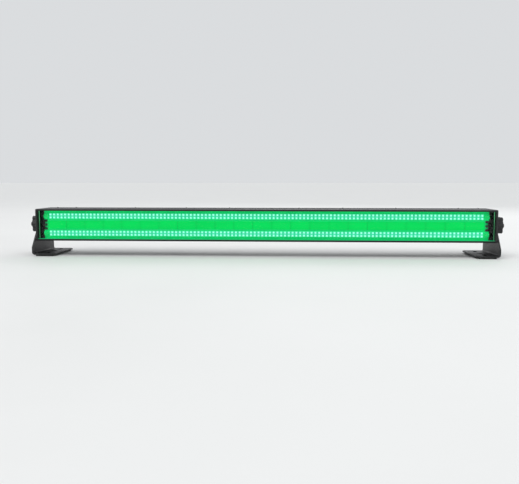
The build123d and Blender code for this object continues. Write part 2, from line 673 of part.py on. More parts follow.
def fan_rotor():
    """Hub with seven pitched vanes and a short shaft."""
    x, vanes, hub_r = FAN_X, 7, 10.5
    low, high = FAN_FRONT_Y + 2.6, REAR_EDGE_Y - 1.2
    sweep_ring = rod_y(x, low, high, 0, 23.0) - rod_y(x, low - 1, high + 1, 0, hub_r - 1.5)
    rotor = rod_y(x, low, high, 0, hub_r)
    for i in range(vanes):
        place = Pos(x, (low + high) / 2, 0) * Rot(0, i * 360 / vanes, 0)
        vane = place * Pos(16.5, 0, 0) * Rot(38, 0, 0) * Box(15, 1.2, 19)
        rotor += vane & sweep_ring
    return rotor + rod_y(x, FAN_FRONT_Y + 0.3, low, 0, 1.5)


def fan_guard():
    """Pressed finger guard: two rings, a hub disc, a cross and four screw eyes."""
    face = Circle(22.8) - Circle(21.2) + (Circle(15.0) - Circle(13.4)) + Circle(6.5)
    for turn in (45, 135):
        face += Rot(0, 0, turn) * Rectangle(2 * FAN_HOLE * math.sqrt(2), 2.4)
    for a, b in FAN_HOLES:
        face += Pos(a, b) * Circle(3.8)
    for a, b in FAN_HOLES:
        face -= Pos(a, b) * Circle(CLEAR_HOLE_R)
    return along_y(Pos(FAN_X, 0) * face, REAR_FACE_Y, REAR_FACE_Y + GUARD_T)


def fan_screws():
    head_y = REAR_FACE_Y + GUARD_T
    return group(
        pan_screw_rear(x + a, b, head_y, 9.0) for x in (-FAN_X, FAN_X) for a, b in FAN_HOLES
    )


# ---------------------------------------------------------------- rigging
def safety_eye():
    """Steel angle on the rear cover, with the hole for a safety cable."""
    base = block(-16, 16, REAR_FACE_Y, REAR_FACE_Y + EYE_BASE_T, 22.6, EYE_TOP)
    tab = block(-7, 7, REAR_FACE_Y, EYE_HOLE_Y, EYE_TOP - 3, EYE_TOP)
    tab += rod_z(0, EYE_HOLE_Y, EYE_TOP - 3, EYE_TOP, 7.0)
    eye = base + tab
    eye -= rod_z(0, EYE_HOLE_Y, EYE_TOP - 4, EYE_TOP + 1, EYE_HOLE_R)
    for x in (-EYE_SCREW_X, EYE_SCREW_X):
        eye -= rod_y(x, REAR_FACE_Y - 1, REAR_FACE_Y + 4, EYE_SCREW_Z, CLEAR_HOLE_R)
    return eye


def bracket():
    """Bent steel bracket: a tapered arm outside the end cap and a foot under the bar."""
    inner_bend, arm_top, shoulder = 3.0, 18.0, -48.0
    foot_end = ARM_OUTER_X - FOOT_REACH
    arm = patch(ARM_INNER_X, ARM_OUTER_X, FOOT_LOW, arm_top)
    section = arm + patch(foot_end, ARM_OUTER_X, FOOT_LOW, FOOT_HIGH)
    inside = section.vertices().sort_by_distance((ARM_INNER_X, FOOT_HIGH))[0]
    section = fillet(inside, inner_bend)
    outside = section.vertices().sort_by_distance((ARM_OUTER_X, FOOT_LOW))[0]
    section = fillet(outside, inner_bend + ARM_T)
    sheet = along_y(section, -FOOT_HALF_DEPTH, FOOT_HALF_DEPTH)

    base_line = Pos(0, shoulder) * Rectangle(2 * FOOT_HALF_DEPTH, 0.5)
    taper = make_hull(Circle(arm_top).edges() + base_line.edges())
    outline = taper + patch(-FOOT_HALF_DEPTH, FOOT_HALF_DEPTH, shoulder, FOOT_LOW - 1)
    sheet &= along_x(outline, foot_end - 1, ARM_OUTER_X + 1)
    tips = sheet.edges().filter_by(Axis.Z)
    tips = tips.filter_by_position(Axis.X, foot_end - 0.1, foot_end + 0.1)
    sheet = fillet(tips, 8.0)

    sheet -= rod_x(ARM_INNER_X - 1, ARM_OUTER_X + 1, 0, 0, ARM_BORE_R)
    sheet -= rod_z(CLAMP_X, 0, FOOT_LOW - 1, FOOT_HIGH + 1, CLAMP_HOLE_R)
    slot = extrude(SlotOverall(SLOT_LENGTH, SLOT_WIDTH, rotation=90), amount=ARM_T + 2)
    for side in (-1, 1):
        sheet -= Pos(CLAMP_X, side * SLOT_SPACING / 2, FOOT_LOW - 1) * slot
    return sheet


def foot_pads():
    """Two rubber strips under the foot."""
    low = -AXIS_HEIGHT
    pads = [
        block(ARM_OUTER_X - 44, ARM_OUTER_X - 8, side * 50, side * 58, low, FOOT_LOW)
        for side in (-1, 1)
    ]
    return group(pads)


def friction_washers():
    washer = rod_x(CAP_OUTER_X, ARM_INNER_X, 0, 0, WASHER_R)
    washer -= rod_x(CAP_OUTER_X - 1, ARM_INNER_X + 1, 0, 0, PIVOT_HOLE_R)
    return group([washer, left_of(washer)])


def pivot_nuts():
    """M8 weld nuts behind the end caps, drawn at the thread's major diameter."""
    nut = rod_x(482, CAP_INNER_X, 0, 0, 8.0) + rod_x(CAP_INNER_X - 2, CAP_INNER_X, 0, 0, 12.0)
    nut -= rod_x(480, CAP_INNER_X + 1, 0, 0, NUT_BORE_R)
    return group([nut, left_of(nut)])


def knob_stud():
    """M8 stud with a collar that presses on the bracket arm."""
    stud = rod_x(484, KNOB_INNER_X + 10, 0, 0, STUD_R)
    return stud + rod_x(ARM_OUTER_X, KNOB_INNER_X, 0, 0, 9.0)


def knob():
    """Moulded six-lobe hand knob."""
    lobes, lobe_circle, lobe_r, waist_r = 6, 14.0, 5.5, 15.0
    face = Circle(waist_r)
    for i in range(lobes):
        angle = math.radians(i * 360 / lobes)
        face += Pos(lobe_circle * math.cos(angle), lobe_circle * math.sin(angle)) * Circle(lobe_r)
    grip = along_x(face, KNOB_INNER_X + 3, KNOB_INNER_X + 16)
    grip = chamfer(grip.faces().sort_by(Axis.X)[-1].edges(), 1.0)
    grip += rod_x(KNOB_INNER_X, KNOB_INNER_X + 3, 0, 0, 10.0)
    grip -= rod_x(KNOB_INNER_X - 1, KNOB_INNER_X + 10, 0, 0, STUD_R)
    return grip


# ---------------------------------------------------------------- wiring
def lead(points, r, radii):
    """A round lead: straight runs joined by arcs."""
    path = FilletPolyline(*points, radius=radii)
    start = Plane(origin=path @ 0, z_dir=path % 0)
    return sweep(start * Circle(r), path=path)


def board_leads():
    """From each driver, through the web, round into the end connectors of the LED boards."""
    driver_end, bay_y = 314.0, -14.5
    over_board_y = BOARD_FRONT_Y - CONNECTOR_H / 2
    leads = []
    for start_z, z in ((-12.0, -STRIP_OFFSET), (4.0, 0.0), (12.0, STRIP_OFFSET)):
        points = [
            (driver_end, bay_y, start_z),
            (400, bay_y, start_z),
            (440, bay_y, z),
            (CABLE_HOLE_X, bay_y, z),
            (CABLE_HOLE_X, over_board_y, z),
            (CONNECTOR_X1, over_board_y, z),
        ]
        run = lead(points, 1.2, [30.0, 30.0, 8.0, 3.6])
        leads += [run, left_of(run)]
    return leads


def fan_leads():
    """Thin leads from the fans to the power supply."""
    points = [(225, 33, 20), (140, 33, 20), (122, 8, 20), (PSU_HALF, 8, 20)]
    run = lead(points, 1.0, [10.0, 6.0])
    return [run, left_of(run)]


def wiring_mains():
    """Mains leads from the power connectors and the fuse to the power supply."""
    boot_y, bend_y, run_y = 14.0, 9.0, -1.0
    pieces = [rod_y(x, boot_y, TAIL_Y, 0, 8.0) for x in (POWER_IN_X, POWER_OUT_X)]
    for x, z in ((POWER_IN_X, 1.0), (POWER_OUT_X, -8.0), (FUSE_X, 10.0)):
        points = [(x, boot_y, 0), (x, bend_y, 0), (x, run_y, z), (PSU_HALF, run_y, z)]
        pieces.append(lead(points, 2.4, [6.0, 5.0]))
    return group(pieces)


def data_leads():
    """Screened leads from the data connectors to the control board."""
    boot_y, bend_y = 14.0, 10.0
    pieces = [rod_y(x, boot_y, TAIL_Y, 0, 6.5) for x in (DATA_IN_X, DATA_OUT_X)]
    for x, run_y, z, end_x in ((DATA_IN_X, 2.0, 5.0, -44.5), (DATA_OUT_X, -2.0, -5.0, -38.0)):
        points = [
            (x, boot_y, 0),
            (x, bend_y, 0),
            (x, run_y, z),
            (-150, run_y, z),
            (-106, 26.5, z),
            (end_x, 26.5, z),
            (end_x, CONTROL_Y - 2.2, z),
        ]
        pieces.append(lead(points, 1.8, [4.0, 4.0, 20.0, 12.0, 3.5]))
    return pieces


def wiring_low_voltage():
    """LED, fan, data and supply leads."""
    driver_feed = rod_x(PSU_HALF, 149, -13.5, -13, 1.6)
    control_feed = rod_y(-10, PSU_REAR_Y, CONTROL_Y - 9, 0, 1.2)
    pieces = [driver_feed, left_of(driver_feed), control_feed]
    return group(board_leads() + fan_leads() + data_leads() + pieces)


# ---------------------------------------------------------------- assembly
def main():
    os.makedirs("parts", exist_ok=True)
    pieces = {
        "housing_extrusion": housing_extrusion(),
        "rear_cover": rear_cover(),
        "rear_cover_screws": rear_cover_screws(),
        "end_cap_right": end_cap(),
        "end_cap_left": left_of(end_cap()),
        "end_cap_screws": end_cap_screws(),
        "front_cover": front_cover(),
        "seals": seals(),
        "rgb_board_upper": strip_board(),
        "rgb_board_lower": mirror(strip_board(), about=Plane.XY),
        "rgb_leds_upper": strip_leds(1),
        "rgb_leds_lower": strip_leds(-1),
        "white_board": white_board(),
        "white_leds": white_leds(),
        "reflector_tray": reflector_tray(),
        "diffuser_strip": diffuser_strip(),
        "board_screws": board_screws(),
        "psu_case": psu_case(),
        "psu_board": psu_board(),
        "driver_board_right": driver_board(),
        "driver_board_left": left_of(driver_board()),
        "board_standoffs": board_standoffs(),
        "control_board": control_board(),
        "display_module": display_module(),
        "control_panel": control_panel(),
        "display_window": display_window(),
        "data_in_socket": data_in_socket(),
        "data_out_socket": data_out_socket(),
        "data_out_core": data_out_core(),
        "data_out_latch": data_out_latch(),
        "power_in_socket": power_socket(POWER_IN_X),
        "power_out_socket": power_socket(POWER_OUT_X),
        "connector_contacts": connector_contacts(),
        "panel_screws": panel_screws(),
        "fuse_holder": fuse_holder(),
        "fuse_cartridge": fuse_cartridge(),
        "fuse_cap": fuse_cap(),
        "fan_frame_right": fan_frame(),
        "fan_frame_left": left_of(fan_frame()),
        "fan_rotor_right": fan_rotor(),
        "fan_rotor_left": left_of(fan_rotor()),
        "fan_guards": group([fan_guard(), left_of(fan_guard())]),
        "fan_screws": fan_screws(),
        "safety_eye": safety_eye(),
        "pivot_nuts": pivot_nuts(),
        "friction_washers": friction_washers(),
        "bracket_right": bracket(),
        "bracket_left": left_of(bracket()),
        "foot_pads_right": foot_pads(),
        "foot_pads_left": left_of(foot_pads()),
        "knob_right": knob(),
        "knob_left": left_of(knob()),
        "knob_stud_right": knob_stud(),
        "knob_stud_left": left_of(knob_stud()),
        "wiring_mains": wiring_mains(),
        "wiring_low_voltage": wiring_low_voltage(),
    }
    for name, x in zip(("mode", "down", "up", "enter"), BUTTON_X):
        pieces["button_" + name] = button(x)
    for name, shape in pieces.items():
        export_step(Pos(0, 0, AXIS_HEIGHT) * shape, f"parts/{name}.step")


main()
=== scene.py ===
import math
import random

import bpy
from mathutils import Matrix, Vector


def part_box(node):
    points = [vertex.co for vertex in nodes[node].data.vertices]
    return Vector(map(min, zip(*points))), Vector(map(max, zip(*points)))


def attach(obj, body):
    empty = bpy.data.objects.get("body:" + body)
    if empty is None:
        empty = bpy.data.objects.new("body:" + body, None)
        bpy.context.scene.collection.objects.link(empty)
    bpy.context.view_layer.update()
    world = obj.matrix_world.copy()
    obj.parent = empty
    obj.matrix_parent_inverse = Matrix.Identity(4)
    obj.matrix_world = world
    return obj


# Looks of a metre-long LED batten with its green light on, set on a pale studio floor.
# Lengths are in metres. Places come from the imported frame; X runs along the bar, -Y is its front.

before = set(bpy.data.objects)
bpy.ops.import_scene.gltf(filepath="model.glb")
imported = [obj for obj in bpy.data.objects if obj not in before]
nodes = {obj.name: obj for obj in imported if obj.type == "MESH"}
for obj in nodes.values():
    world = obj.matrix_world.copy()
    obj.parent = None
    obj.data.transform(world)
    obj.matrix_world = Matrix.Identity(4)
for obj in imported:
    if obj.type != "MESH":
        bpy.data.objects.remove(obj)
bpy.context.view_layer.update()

# ---------------------------------------------------------------- driving sizes
COLUMNS = 115
COLUMNS_PER_CELL = 5
LED_SIZE = 0.005
LENS_R = 0.0019
LENS_RISE = 0.0007          # how far a lens stands proud of its package
LENS_RINGS = [(0.45, 0.86), (0.80, 0.45), (1.0, -0.15)]     # shares of the radius and of the rise
LENS_SEGMENTS = 12
TERMINAL = 0.0006           # width of an LED's metal terminals
TERMINAL_T = 0.00025
TERMINAL_UP = 0.0014        # from an LED's middle to its terminals, up or down
BOARD_T = 0.0016
CHAMBER_HALF = 0.0324       # half the height inside the light chamber
WINDOW_HALF = 0.0306        # half the height of the clear window between its lips
LINER_T = 0.0004            # white sheet that lines the light chamber
LINER_RETURN = 0.0012       # height of the liner's folded front edge
LINER_SETBACK = 0.0030      # from the window's inner face back to the liner's front edge
TRIM_HALF = 0.0305          # half the height of the clear trim at each end
TRIM_T = 0.0004
TRIM_DEPTH = 0.0020
RIB_LINE = 0.0008           # half the width of the line that a rib makes on the band
BAND_FLAT = 0.0060          # half the height over which the band is lit evenly
FLUTE_PITCH = 0.0011
KNOB_FACE_R = 0.0094        # ringed face in the middle of a clamp knob
KNOB_RING_PITCH = 0.0030
LEAD_SPAN = 0.024           # the leads lie within this height of the axis, up or down
FUSE_END = 0.0055           # length of a fuse's metal ends

CHANNEL = "001 "
SEGMENTS_ON = {"0": "abcdef", "1": "bc", " ": ""}
SEGMENT_T = 0.0014
SEGMENT_GAP = 0.0004
SEGMENT_RISE = 0.0003
DIGIT_HEIGHT = 0.0125
DIGIT_WIDTH = 0.52          # share of the pitch between digits
ICON_SIZE = 0.0014
ICON_T = 0.00012            # thickness of printed marks
PRINT_LINE = 0.0005         # width of printed frames
SYMBOL_LINE = 0.0006        # width of the lines in printed symbols

BAR_FACES = [(0, 1, 3, 2), (4, 6, 7, 5), (0, 4, 5, 1), (2, 3, 7, 6), (0, 2, 6, 4), (1, 5, 7, 3)]

CAMERA_DISTANCE = 1.3995
CAMERA_AZIMUTH = 2.868      # degrees towards the right end
CAMERA_ELEVATION = 3.926
AIM_OFFSET = Vector((-0.0080, 0.0, -0.0398))
FIELD_OF_VIEW = 45.0
FLOOR_HALF = 60.0

# Light, as linear colours
LENS_CORE = (0.72, 1.0, 0.98)
LENS_RIM = (0.24, 0.98, 0.70)
PACKAGE_GLOW = (0.115, 0.87, 0.53)
GAP_GLOW = (0.024, 0.53, 0.25)
BOARD_GLOW = (0.001, 0.49, 0.105)
INNER_GLOW = (0.004, 0.60, 0.14)    # between a strip and the middle band
BAND_GLOW = (0.0, 0.64, 0.092)
BAND_DIVIDER = (0.0, 0.44, 0.06)
EDGE_GLOW = (0.01, 0.60, 0.20)
TRIM_GLOW = (0.09, 0.42, 0.18)
SEGMENT_RED = (1.0, 0.06, 0.03)
LIT_SPECULAR = 0.05         # keeps studio light off the lit surfaces

# ---------------------------------------------------------------- places from the frame
LEDS_LOW, LEDS_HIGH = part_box("rgb_leds_upper")
BODY_LOW, BODY_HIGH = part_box("housing_extrusion")
COVER_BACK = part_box("front_cover")[1].y
BAND_LOW, BAND_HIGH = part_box("diffuser_strip")
BOARD_LOW, BOARD_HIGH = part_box("rgb_board_upper")
AXIS_Z = (BODY_LOW.z + BODY_HIGH.z) / 2
STRIP_OFFSET = (BOARD_LOW.z + BOARD_HIGH.z) / 2 - AXIS_Z
ROW_HALF = (LEDS_HIGH.z - LEDS_LOW.z) / 2
LED_PITCH = (LEDS_HIGH.x - LEDS_LOW.x - LED_SIZE) / (COLUMNS - 1)
CELL = LED_PITCH * COLUMNS_PER_CELL


# ---------------------------------------------------------------- node graphs
def rgba(colour):
    return (*colour, 1.0)


class Graph:
    """A material's node graph. Inputs take a number, a tuple or another node's output."""

    def __init__(self, name):
        self.material = bpy.data.materials.new(name)
        self.material.use_nodes = True
        self.tree = self.material.node_tree
        self.tree.nodes.clear()
        self.place = self.add("ShaderNodeTexCoord").outputs["Object"]

    def add(self, kind, inputs=None, **settings):
        node = self.tree.nodes.new(kind)
        for key, value in settings.items():
            setattr(node, key, value)
        for key, value in (inputs or {}).items():
            socket = node.inputs[key]
            if isinstance(value, bpy.types.NodeSocket):
                self.tree.links.new(value, socket)
            else:
                socket.default_value = value
        return node

    def math(self, operation, a, b=0.0):
        return self.add("ShaderNodeMath", {0: a, 1: b}, operation=operation).outputs[0]

    def axes(self):
        """The x, y and z of the point, in the frame's metres."""
        return self.add("ShaderNodeSeparateXYZ", {0: self.place}).outputs

    def noise(self, scale, detail=3.0, stretch=(1.0, 1.0, 1.0)):
        place = self.add("ShaderNodeMapping", {"Vector": self.place, "Scale": stretch}).outputs[0]
        inputs = {"Vector": place, "Scale": scale, "Detail": detail}
        return self.add("ShaderNodeTexNoise", inputs).outputs[0]

    def cells(self, scale):
        inputs = {"Vector": self.place, "Scale": scale}
        return self.add("ShaderNodeTexVoronoi", inputs).outputs["Distance"]

    def spread(self, value, low, high, to_low=0.0, to_high=1.0):
        """Maps low..high to to_low..to_high, held at both ends."""
        inputs = {0: value, 1: low, 2: high, 3: to_low, 4: to_high}
        return self.add("ShaderNodeMapRange", inputs).outputs[0]

    def vary(self, grain, low, high):
        """Maps the usual range of a noise to low..high."""
        return self.spread(grain, 0.3, 0.7, low, high)

    def times(self, a, b):
        return self.math("MULTIPLY", a, b)

    def away(self, value, middle=0.0):
        """How far a value is from a middle, either way."""
        return self.math("ABSOLUTE", self.math("SUBTRACT", value, middle))

    def blend(self, a, share, b):
        """A share of one noise and the rest of another."""
        return self.math("ADD", self.times(a, share), self.times(b, 1.0 - share))

    def mix(self, factor, a, b):
        colours = [c if isinstance(c, bpy.types.NodeSocket) else rgba(c) for c in (a, b)]
        inputs = {0: factor, 6: colours[0], 7: colours[1]}
        return self.add("ShaderNodeMix", inputs, data_type="RGBA").outputs[2]

    def bump(self, height, depth, strength=1.0, normal=None):
        inputs = {"Height": height, "Distance": depth, "Strength": strength}
        if normal is not None:
            inputs["Normal"] = normal
        return self.add("ShaderNodeBump", inputs).outputs[0]

    def edges(self, radius):
        """The normal with its edges rounded, and a mask that is 1 along those edges."""
        rounded = self.add("ShaderNodeBevel", {"Radius": radius}, samples=4).outputs[0]
        flat = self.add("ShaderNodeNewGeometry").outputs["Normal"]
        along = self.add("ShaderNodeVectorMath", {0: rounded, 1: flat}, operation="DOT_PRODUCT")
        return rounded, self.spread(along.outputs["Value"], 0.995, 0.88)

    def worn(self, edge, scale, detail, low, high):
        """The stretches of an edge where the finish is rubbed or chipped off."""
        return self.times(edge, self.spread(self.noise(scale, detail), low, high))

    def sheen(self, ior):
        """How much a thin pane's outer faces reflect; its faces seen from inside reflect nothing."""
        inside = self.add("ShaderNodeNewGeometry").outputs["Backfacing"]
        fresnel = self.add("ShaderNodeFresnel", {"IOR": ior}).outputs[0]
        return self.times(fresnel, self.math("SUBTRACT", 1.0, inside))

    def pane(self, sheen, tint, gloss_tint, roughness):
        """Clear glazing: lets tinted light through and adds gloss by its sheen."""
        gloss = self.add("ShaderNodeBsdfGlossy", {"Color": rgba(gloss_tint), "Roughness": roughness})
        through = self.add("ShaderNodeBsdfTransparent", {"Color": rgba(tint)})
        mixed = self.add("ShaderNodeMixShader", {0: sheen, 1: through.outputs[0], 2: gloss.outputs[0]})
        return mixed.outputs[0]

    def surface(self, colour, roughness, normal=None, **more):
        """Ends the graph with a Principled shader and gives the material."""
        names = {
            "metallic": "Metallic",
            "emission": "Emission Color",
            "strength": "Emission Strength",
            "specular": "Specular IOR Level",
        }
        inputs = {"Base Color": colour, "Roughness": roughness}
        inputs.update({names[key]: value for key, value in more.items()})
        if normal is not None:
            inputs["Normal"] = normal
        for key in ("Base Color", "Emission Color"):
            if isinstance(inputs.get(key), tuple):
                inputs[key] = rgba(inputs[key])
        return self.end(self.add("ShaderNodeBsdfPrincipled", inputs).outputs[0])

    def lit(self, colour, roughness, normal, light, strength):
        """A surface with painted light: emission that stands for the LEDs' own light on their lenses and
        packages, and for their light falling on every other part.
        """
        glow = {"emission": light, "strength": strength, "specular": LIT_SPECULAR}
        return self.surface(colour, roughness, normal, **glow)

    def end(self, shader):
        self.add("ShaderNodeOutputMaterial", {"Surface": shader})
        return self.material


# ---------------------------------------------------------------- housing materials
def black_anodised():
    """Black anodised aluminium, with die lines along X and edges rubbed bright here and there."""
    g = Graph("black_anodised")
    rounded, edge = g.edges(0.0005)
    lines = g.noise(1100, 2, (0.006, 1, 1))
    cloud = g.noise(5, 2, (0.3, 1, 1))
    rubbed = g.worn(edge, 55, 5, 0.60, 0.72)
    tone = g.blend(lines, 0.6, cloud)
    base = g.mix(tone, (0.006, 0.006, 0.007), (0.015, 0.016, 0.018))
    colour = g.mix(rubbed, base, (0.22, 0.22, 0.215))
    roughness = g.spread(tone, 0.35, 0.65, 0.30, 0.46)
    normal = g.bump(lines, 0.00006, 0.7, rounded)
    return g.surface(colour, roughness, normal, metallic=g.times(rubbed, 0.9), specular=0.30)


def brushed_cap():
    """Black anodised end plate brushed along its width, with worn corners."""
    g = Graph("brushed_cap")
    rounded, edge = g.edges(0.0004)
    lines = g.noise(1300, 3, (1, 0.03, 1))
    rubbed = g.worn(edge, 110, 4, 0.52, 0.66)
    base = g.mix(lines, (0.007, 0.007, 0.008), (0.024, 0.024, 0.026))
    colour = g.mix(rubbed, base, (0.40, 0.40, 0.39))
    roughness = g.vary(lines, 0.26, 0.44)
    normal = g.bump(lines, 0.00008, 0.7, rounded)
    return g.surface(colour, roughness, normal, metallic=g.times(rubbed, 0.9), specular=0.35)


def powder_coat(name, dark, pale, grain):
    """Textured powder coat on sheet steel, chipped to grey along its edges."""
    g = Graph(name)
    rounded, edge = g.edges(0.0006)
    skin = g.noise(grain, 2)
    chips = g.worn(edge, 160, 5, 0.58, 0.64)
    dust = g.spread(g.noise(22, 4), 0.45, 0.80)
    speckle = g.blend(skin, 0.6, dust)
    colour = g.mix(chips, g.mix(speckle, dark, pale), (0.34, 0.33, 0.32))
    roughness = g.vary(skin, 0.30, 0.58)
    normal = g.bump(skin, 0.0004, 0.8, rounded)
    return g.surface(colour, roughness, normal, metallic=g.times(chips, 0.8), specular=0.40)


def clear_window():
    """Clear polycarbonate: faint gloss and smears, and light that pipes out along its lower lip."""
    g = Graph("clear_window")
    x, _, z = g.axes()
    lower_edge = g.spread(g.away(z, AXIS_Z - WINDOW_HALF), 0.0006, 0.0002)
    reach = g.spread(g.away(x), BOARD_HIGH.x, BODY_HIGH.x, 1.0, 0.35)
    glow = g.times(lower_edge, reach)
    light = g.add("ShaderNodeEmission", {"Color": rgba(EDGE_GLOW), "Strength": 1.0}).outputs[0]
    smear = g.spread(g.noise(18, 5, (0.3, 1, 1)), 0.5, 0.8, 0.03, 0.10)
    pane = g.pane(g.sheen(1.12), (0.985, 0.99, 0.985), (0.8, 0.8, 0.8), smear)
    lit = g.add("ShaderNodeMixShader", {0: glow, 1: pane, 2: light})
    return g.end(lit.outputs[0])


# ---------------------------------------------------------------- light engine materials
def lens_glow():
    """A lit LED's dome: nearly white at its crown, green at its rim."""
    g = Graph("lens_glow")
    rim = g.add("ShaderNodeAttribute", attribute_name="rim").outputs["Fac"]
    drift = g.add("ShaderNodeAttribute", attribute_name="drift").outputs["Fac"]
    light = g.mix(rim, LENS_CORE, LENS_RIM)
    normal = g.bump(g.noise(2500, 1), 0.00002, 0.4)
    return g.lit((0.02, 0.15, 0.09), 0.15, normal, light, drift)


def package_glow():
    """White LED packages flooded with their own green light, dimmer at their corners."""
    g = Graph("package_glow")
    x, _, _ = g.axes()
    across = g.math("PINGPONG", g.math("SUBTRACT", x, LEDS_LOW.x + LED_SIZE / 2), LED_PITCH / 2)
    strength = g.spread(across, LENS_R, LED_SIZE / 2, 1.08, 0.80)
    grain = g.noise(1800, 2)
    colour = g.mix(grain, (0.005, 0.10, 0.05), (0.010, 0.14, 0.07))
    return g.lit(colour, g.vary(grain, 0.35, 0.5), g.bump(grain, 0.00002), PACKAGE_GLOW, strength)


def board_glow():
    """White-faced LED board with fine tracks under the mask, lit green, fading at its ends."""
    g = Graph("board_glow")
    x, _, z = g.axes()
    tracks = g.spread(g.noise(420, 1, (0.12, 1, 1)), 0.47, 0.53)
    along = g.away(x)
    past_leds = g.spread(along, LEDS_HIGH.x, LEDS_HIGH.x + 0.001)
    ends = g.spread(along, LEDS_HIGH.x - 0.002, BOARD_HIGH.x, 1.0, 0.75)
    fall = g.spread(z, AXIS_Z - CHAMBER_HALF, AXIS_Z + CHAMBER_HALF, 1.14, 1.0)
    height = g.away(z, AXIS_Z)
    from_strip = g.away(height, STRIP_OFFSET)
    spill = g.spread(from_strip, ROW_HALF, ROW_HALF + 0.003, 1.18, 1.0)
    level = g.times(g.times(ends, fall), spill)
    strength = g.times(level, g.spread(tracks, 0, 1, 0.90, 1.0))
    beside = g.spread(from_strip, ROW_HALF - 0.0004, ROW_HALF + 0.0004)
    inner = g.spread(height, STRIP_OFFSET + 0.001, STRIP_OFFSET - 0.001)
    wash = g.mix(inner, BOARD_GLOW, INNER_GLOW)
    light = g.mix(g.math("MAXIMUM", beside, past_leds), GAP_GLOW, wash)
    # Painted light: a dark green base colour in place of the board's white face, tinted by the LEDs'
    # light.
    colour = g.mix(tracks, (0.008, 0.07, 0.03), (0.012, 0.10, 0.045))
    roughness = g.vary(g.noise(900, 2), 0.32, 0.5)
    return g.lit(colour, roughness, g.bump(tracks, 0.00003, 0.6), light, strength)


def band_glow():
    """Opal diffuser: an even green band with a darker line over each rib and fine flutes."""
    g = Graph("band_glow")
    x, _, z = g.axes()
    along = g.math("SUBTRACT", x, BAND_LOW.x)
    to_rib = g.math("PINGPONG", along, CELL / 2)
    rib = g.spread(to_rib, RIB_LINE * 1.5, RIB_LINE * 0.5)
    edge = g.spread(g.away(z, AXIS_Z), BAND_FLAT, BAND_FLAT + 0.0027, 1.0, 0.93)
    patch = g.vary(g.noise(60, 2, (0.4, 1, 1)), 0.95, 1.03)
    light = g.mix(rib, BAND_GLOW, BAND_DIVIDER)
    flutes = g.math("SINE", g.times(x, math.tau / FLUTE_PITCH))
    roughness = g.vary(g.noise(700, 2), 0.38, 0.52)
    normal = g.bump(flutes, 0.00002, 0.5)
    # Painted light: the diffuser's base colour is a dark green tint of the LEDs' light, in place of its
    # opal white.
    return g.lit((0.002, 0.10, 0.025), roughness, normal, light, g.times(edge, patch))


def lit_white(name, light, level, fade_from, at_end):
    """White plastic or painted sheet in the chamber, washed with light that fades towards the ends."""
    g = Graph(name)
    x, _, _ = g.axes()
    ends = g.spread(g.away(x), fade_from, BOARD_HIGH.x, 1.0, at_end)
    cloud = g.vary(g.noise(45, 3), 0.88, 1.06)
    strength = g.times(g.times(ends, cloud), level)
    grain = g.noise(1500, 2)
    # Painted light: a dark green base colour in place of the white sheet, tinted by the LEDs' light.
    colour = g.mix(grain, (0.006, 0.09, 0.04), (0.010, 0.12, 0.055))
    return g.lit(colour, g.vary(grain, 0.4, 0.55), g.bump(grain, 0.00003), light, strength)


def trim_catch():
    """Clear end trim: light pipes along it and shows most in its upper third."""
    g = Graph("trim_catch")
    _, _, z = g.axes()
    strength = g.spread(z, AXIS_Z + 0.006, AXIS_Z + 0.010, 0.80, 1.25)
    marks = g.noise(900, 2, (1, 1, 0.1))
    # Painted light: the trim's glow is a painted glint, over a dark green base colour in place of clear
    # plastic.
    colour = g.mix(marks, (0.01, 0.05, 0.02), (0.02, 0.08, 0.04))
    return g.lit(colour, g.vary(marks, 0.2, 0.35), g.bump(marks, 0.00002), TRIM_GLOW, strength)


def lit_screw():
    """Zinc screw heads: those beside the strips take their light, the middle ones stay dark."""
    g = Graph("lit_screw")
    _, _, z = g.axes()
    beside_strip = g.spread(g.away(z, AXIS_Z), STRIP_OFFSET / 3, STRIP_OFFSET / 2)
    marks = g.noise(1200, 3)
    # Painted light: the zinc is tinted green for the LEDs' light, and the heads beside the strips glow.
    colour = g.mix(marks, (0.02, 0.05, 0.035), (0.04, 0.09, 0.06))
    glow = {"emission": BOARD_GLOW, "strength": g.times(beside_strip, 1.1)}
    return g.surface(colour, g.vary(marks, 0.34, 0.5), g.bump(marks, 0.00002), metallic=0.7, **glow)


# ---------------------------------------------------------------- general materials
def moulded(name, dark, pale, roughness):
    """Moulded plastic with a fine spark-eroded texture and softened edges."""
    g = Graph(name)
    rounded, edge = g.edges(0.0004)
    grain = g.noise(1700, 3)
    tone = g.math("ADD", g.times(g.noise(60, 3), 0.7), g.times(edge, 0.5))
    colour = g.mix(g.spread(tone, 0.25, 0.9), dark, pale)
    rough = g.vary(grain, roughness - 0.07, roughness + 0.07)
    return g.surface(colour, rough, g.bump(grain, 0.00005, 0.7, rounded))


def turned_knob():
    """Glass-filled black plastic with moulding rings round its axis."""
    g = Graph("turned_knob")
    rounded, edge = g.edges(0.0007)
    _, y, z = g.axes()
    height = g.math("SUBTRACT", z, AXIS_Z)
    radius = g.math("SQRT", g.math("ADD", g.times(y, y), g.times(height, height)))
    rings = g.math("SINE", g.times(radius, math.tau / KNOB_RING_PITCH))
    within = g.spread(radius, KNOB_FACE_R + 0.0004, KNOB_FACE_R - 0.0004)
    grain = g.noise(1500, 3)
    ringed = g.bump(g.times(rings, within), 0.0003, 0.8, rounded)
    normal = g.bump(grain, 0.00008, 0.8, ringed)
    colour = g.mix(edge, (0.013, 0.013, 0.014), (0.055, 0.055, 0.055))
    return g.surface(colour, g.vary(grain, 0.42, 0.6), normal)


def rubber(name, dark, pale):
    g = Graph(name)
    rounded, _ = g.edges(0.0004)
    grain = g.noise(1100, 4)
    colour = g.mix(g.spread(g.noise(80, 4), 0.35, 0.75), dark, pale)
    return g.surface(colour, g.vary(grain, 0.68, 0.88), g.bump(grain, 0.00008, 0.8, rounded))


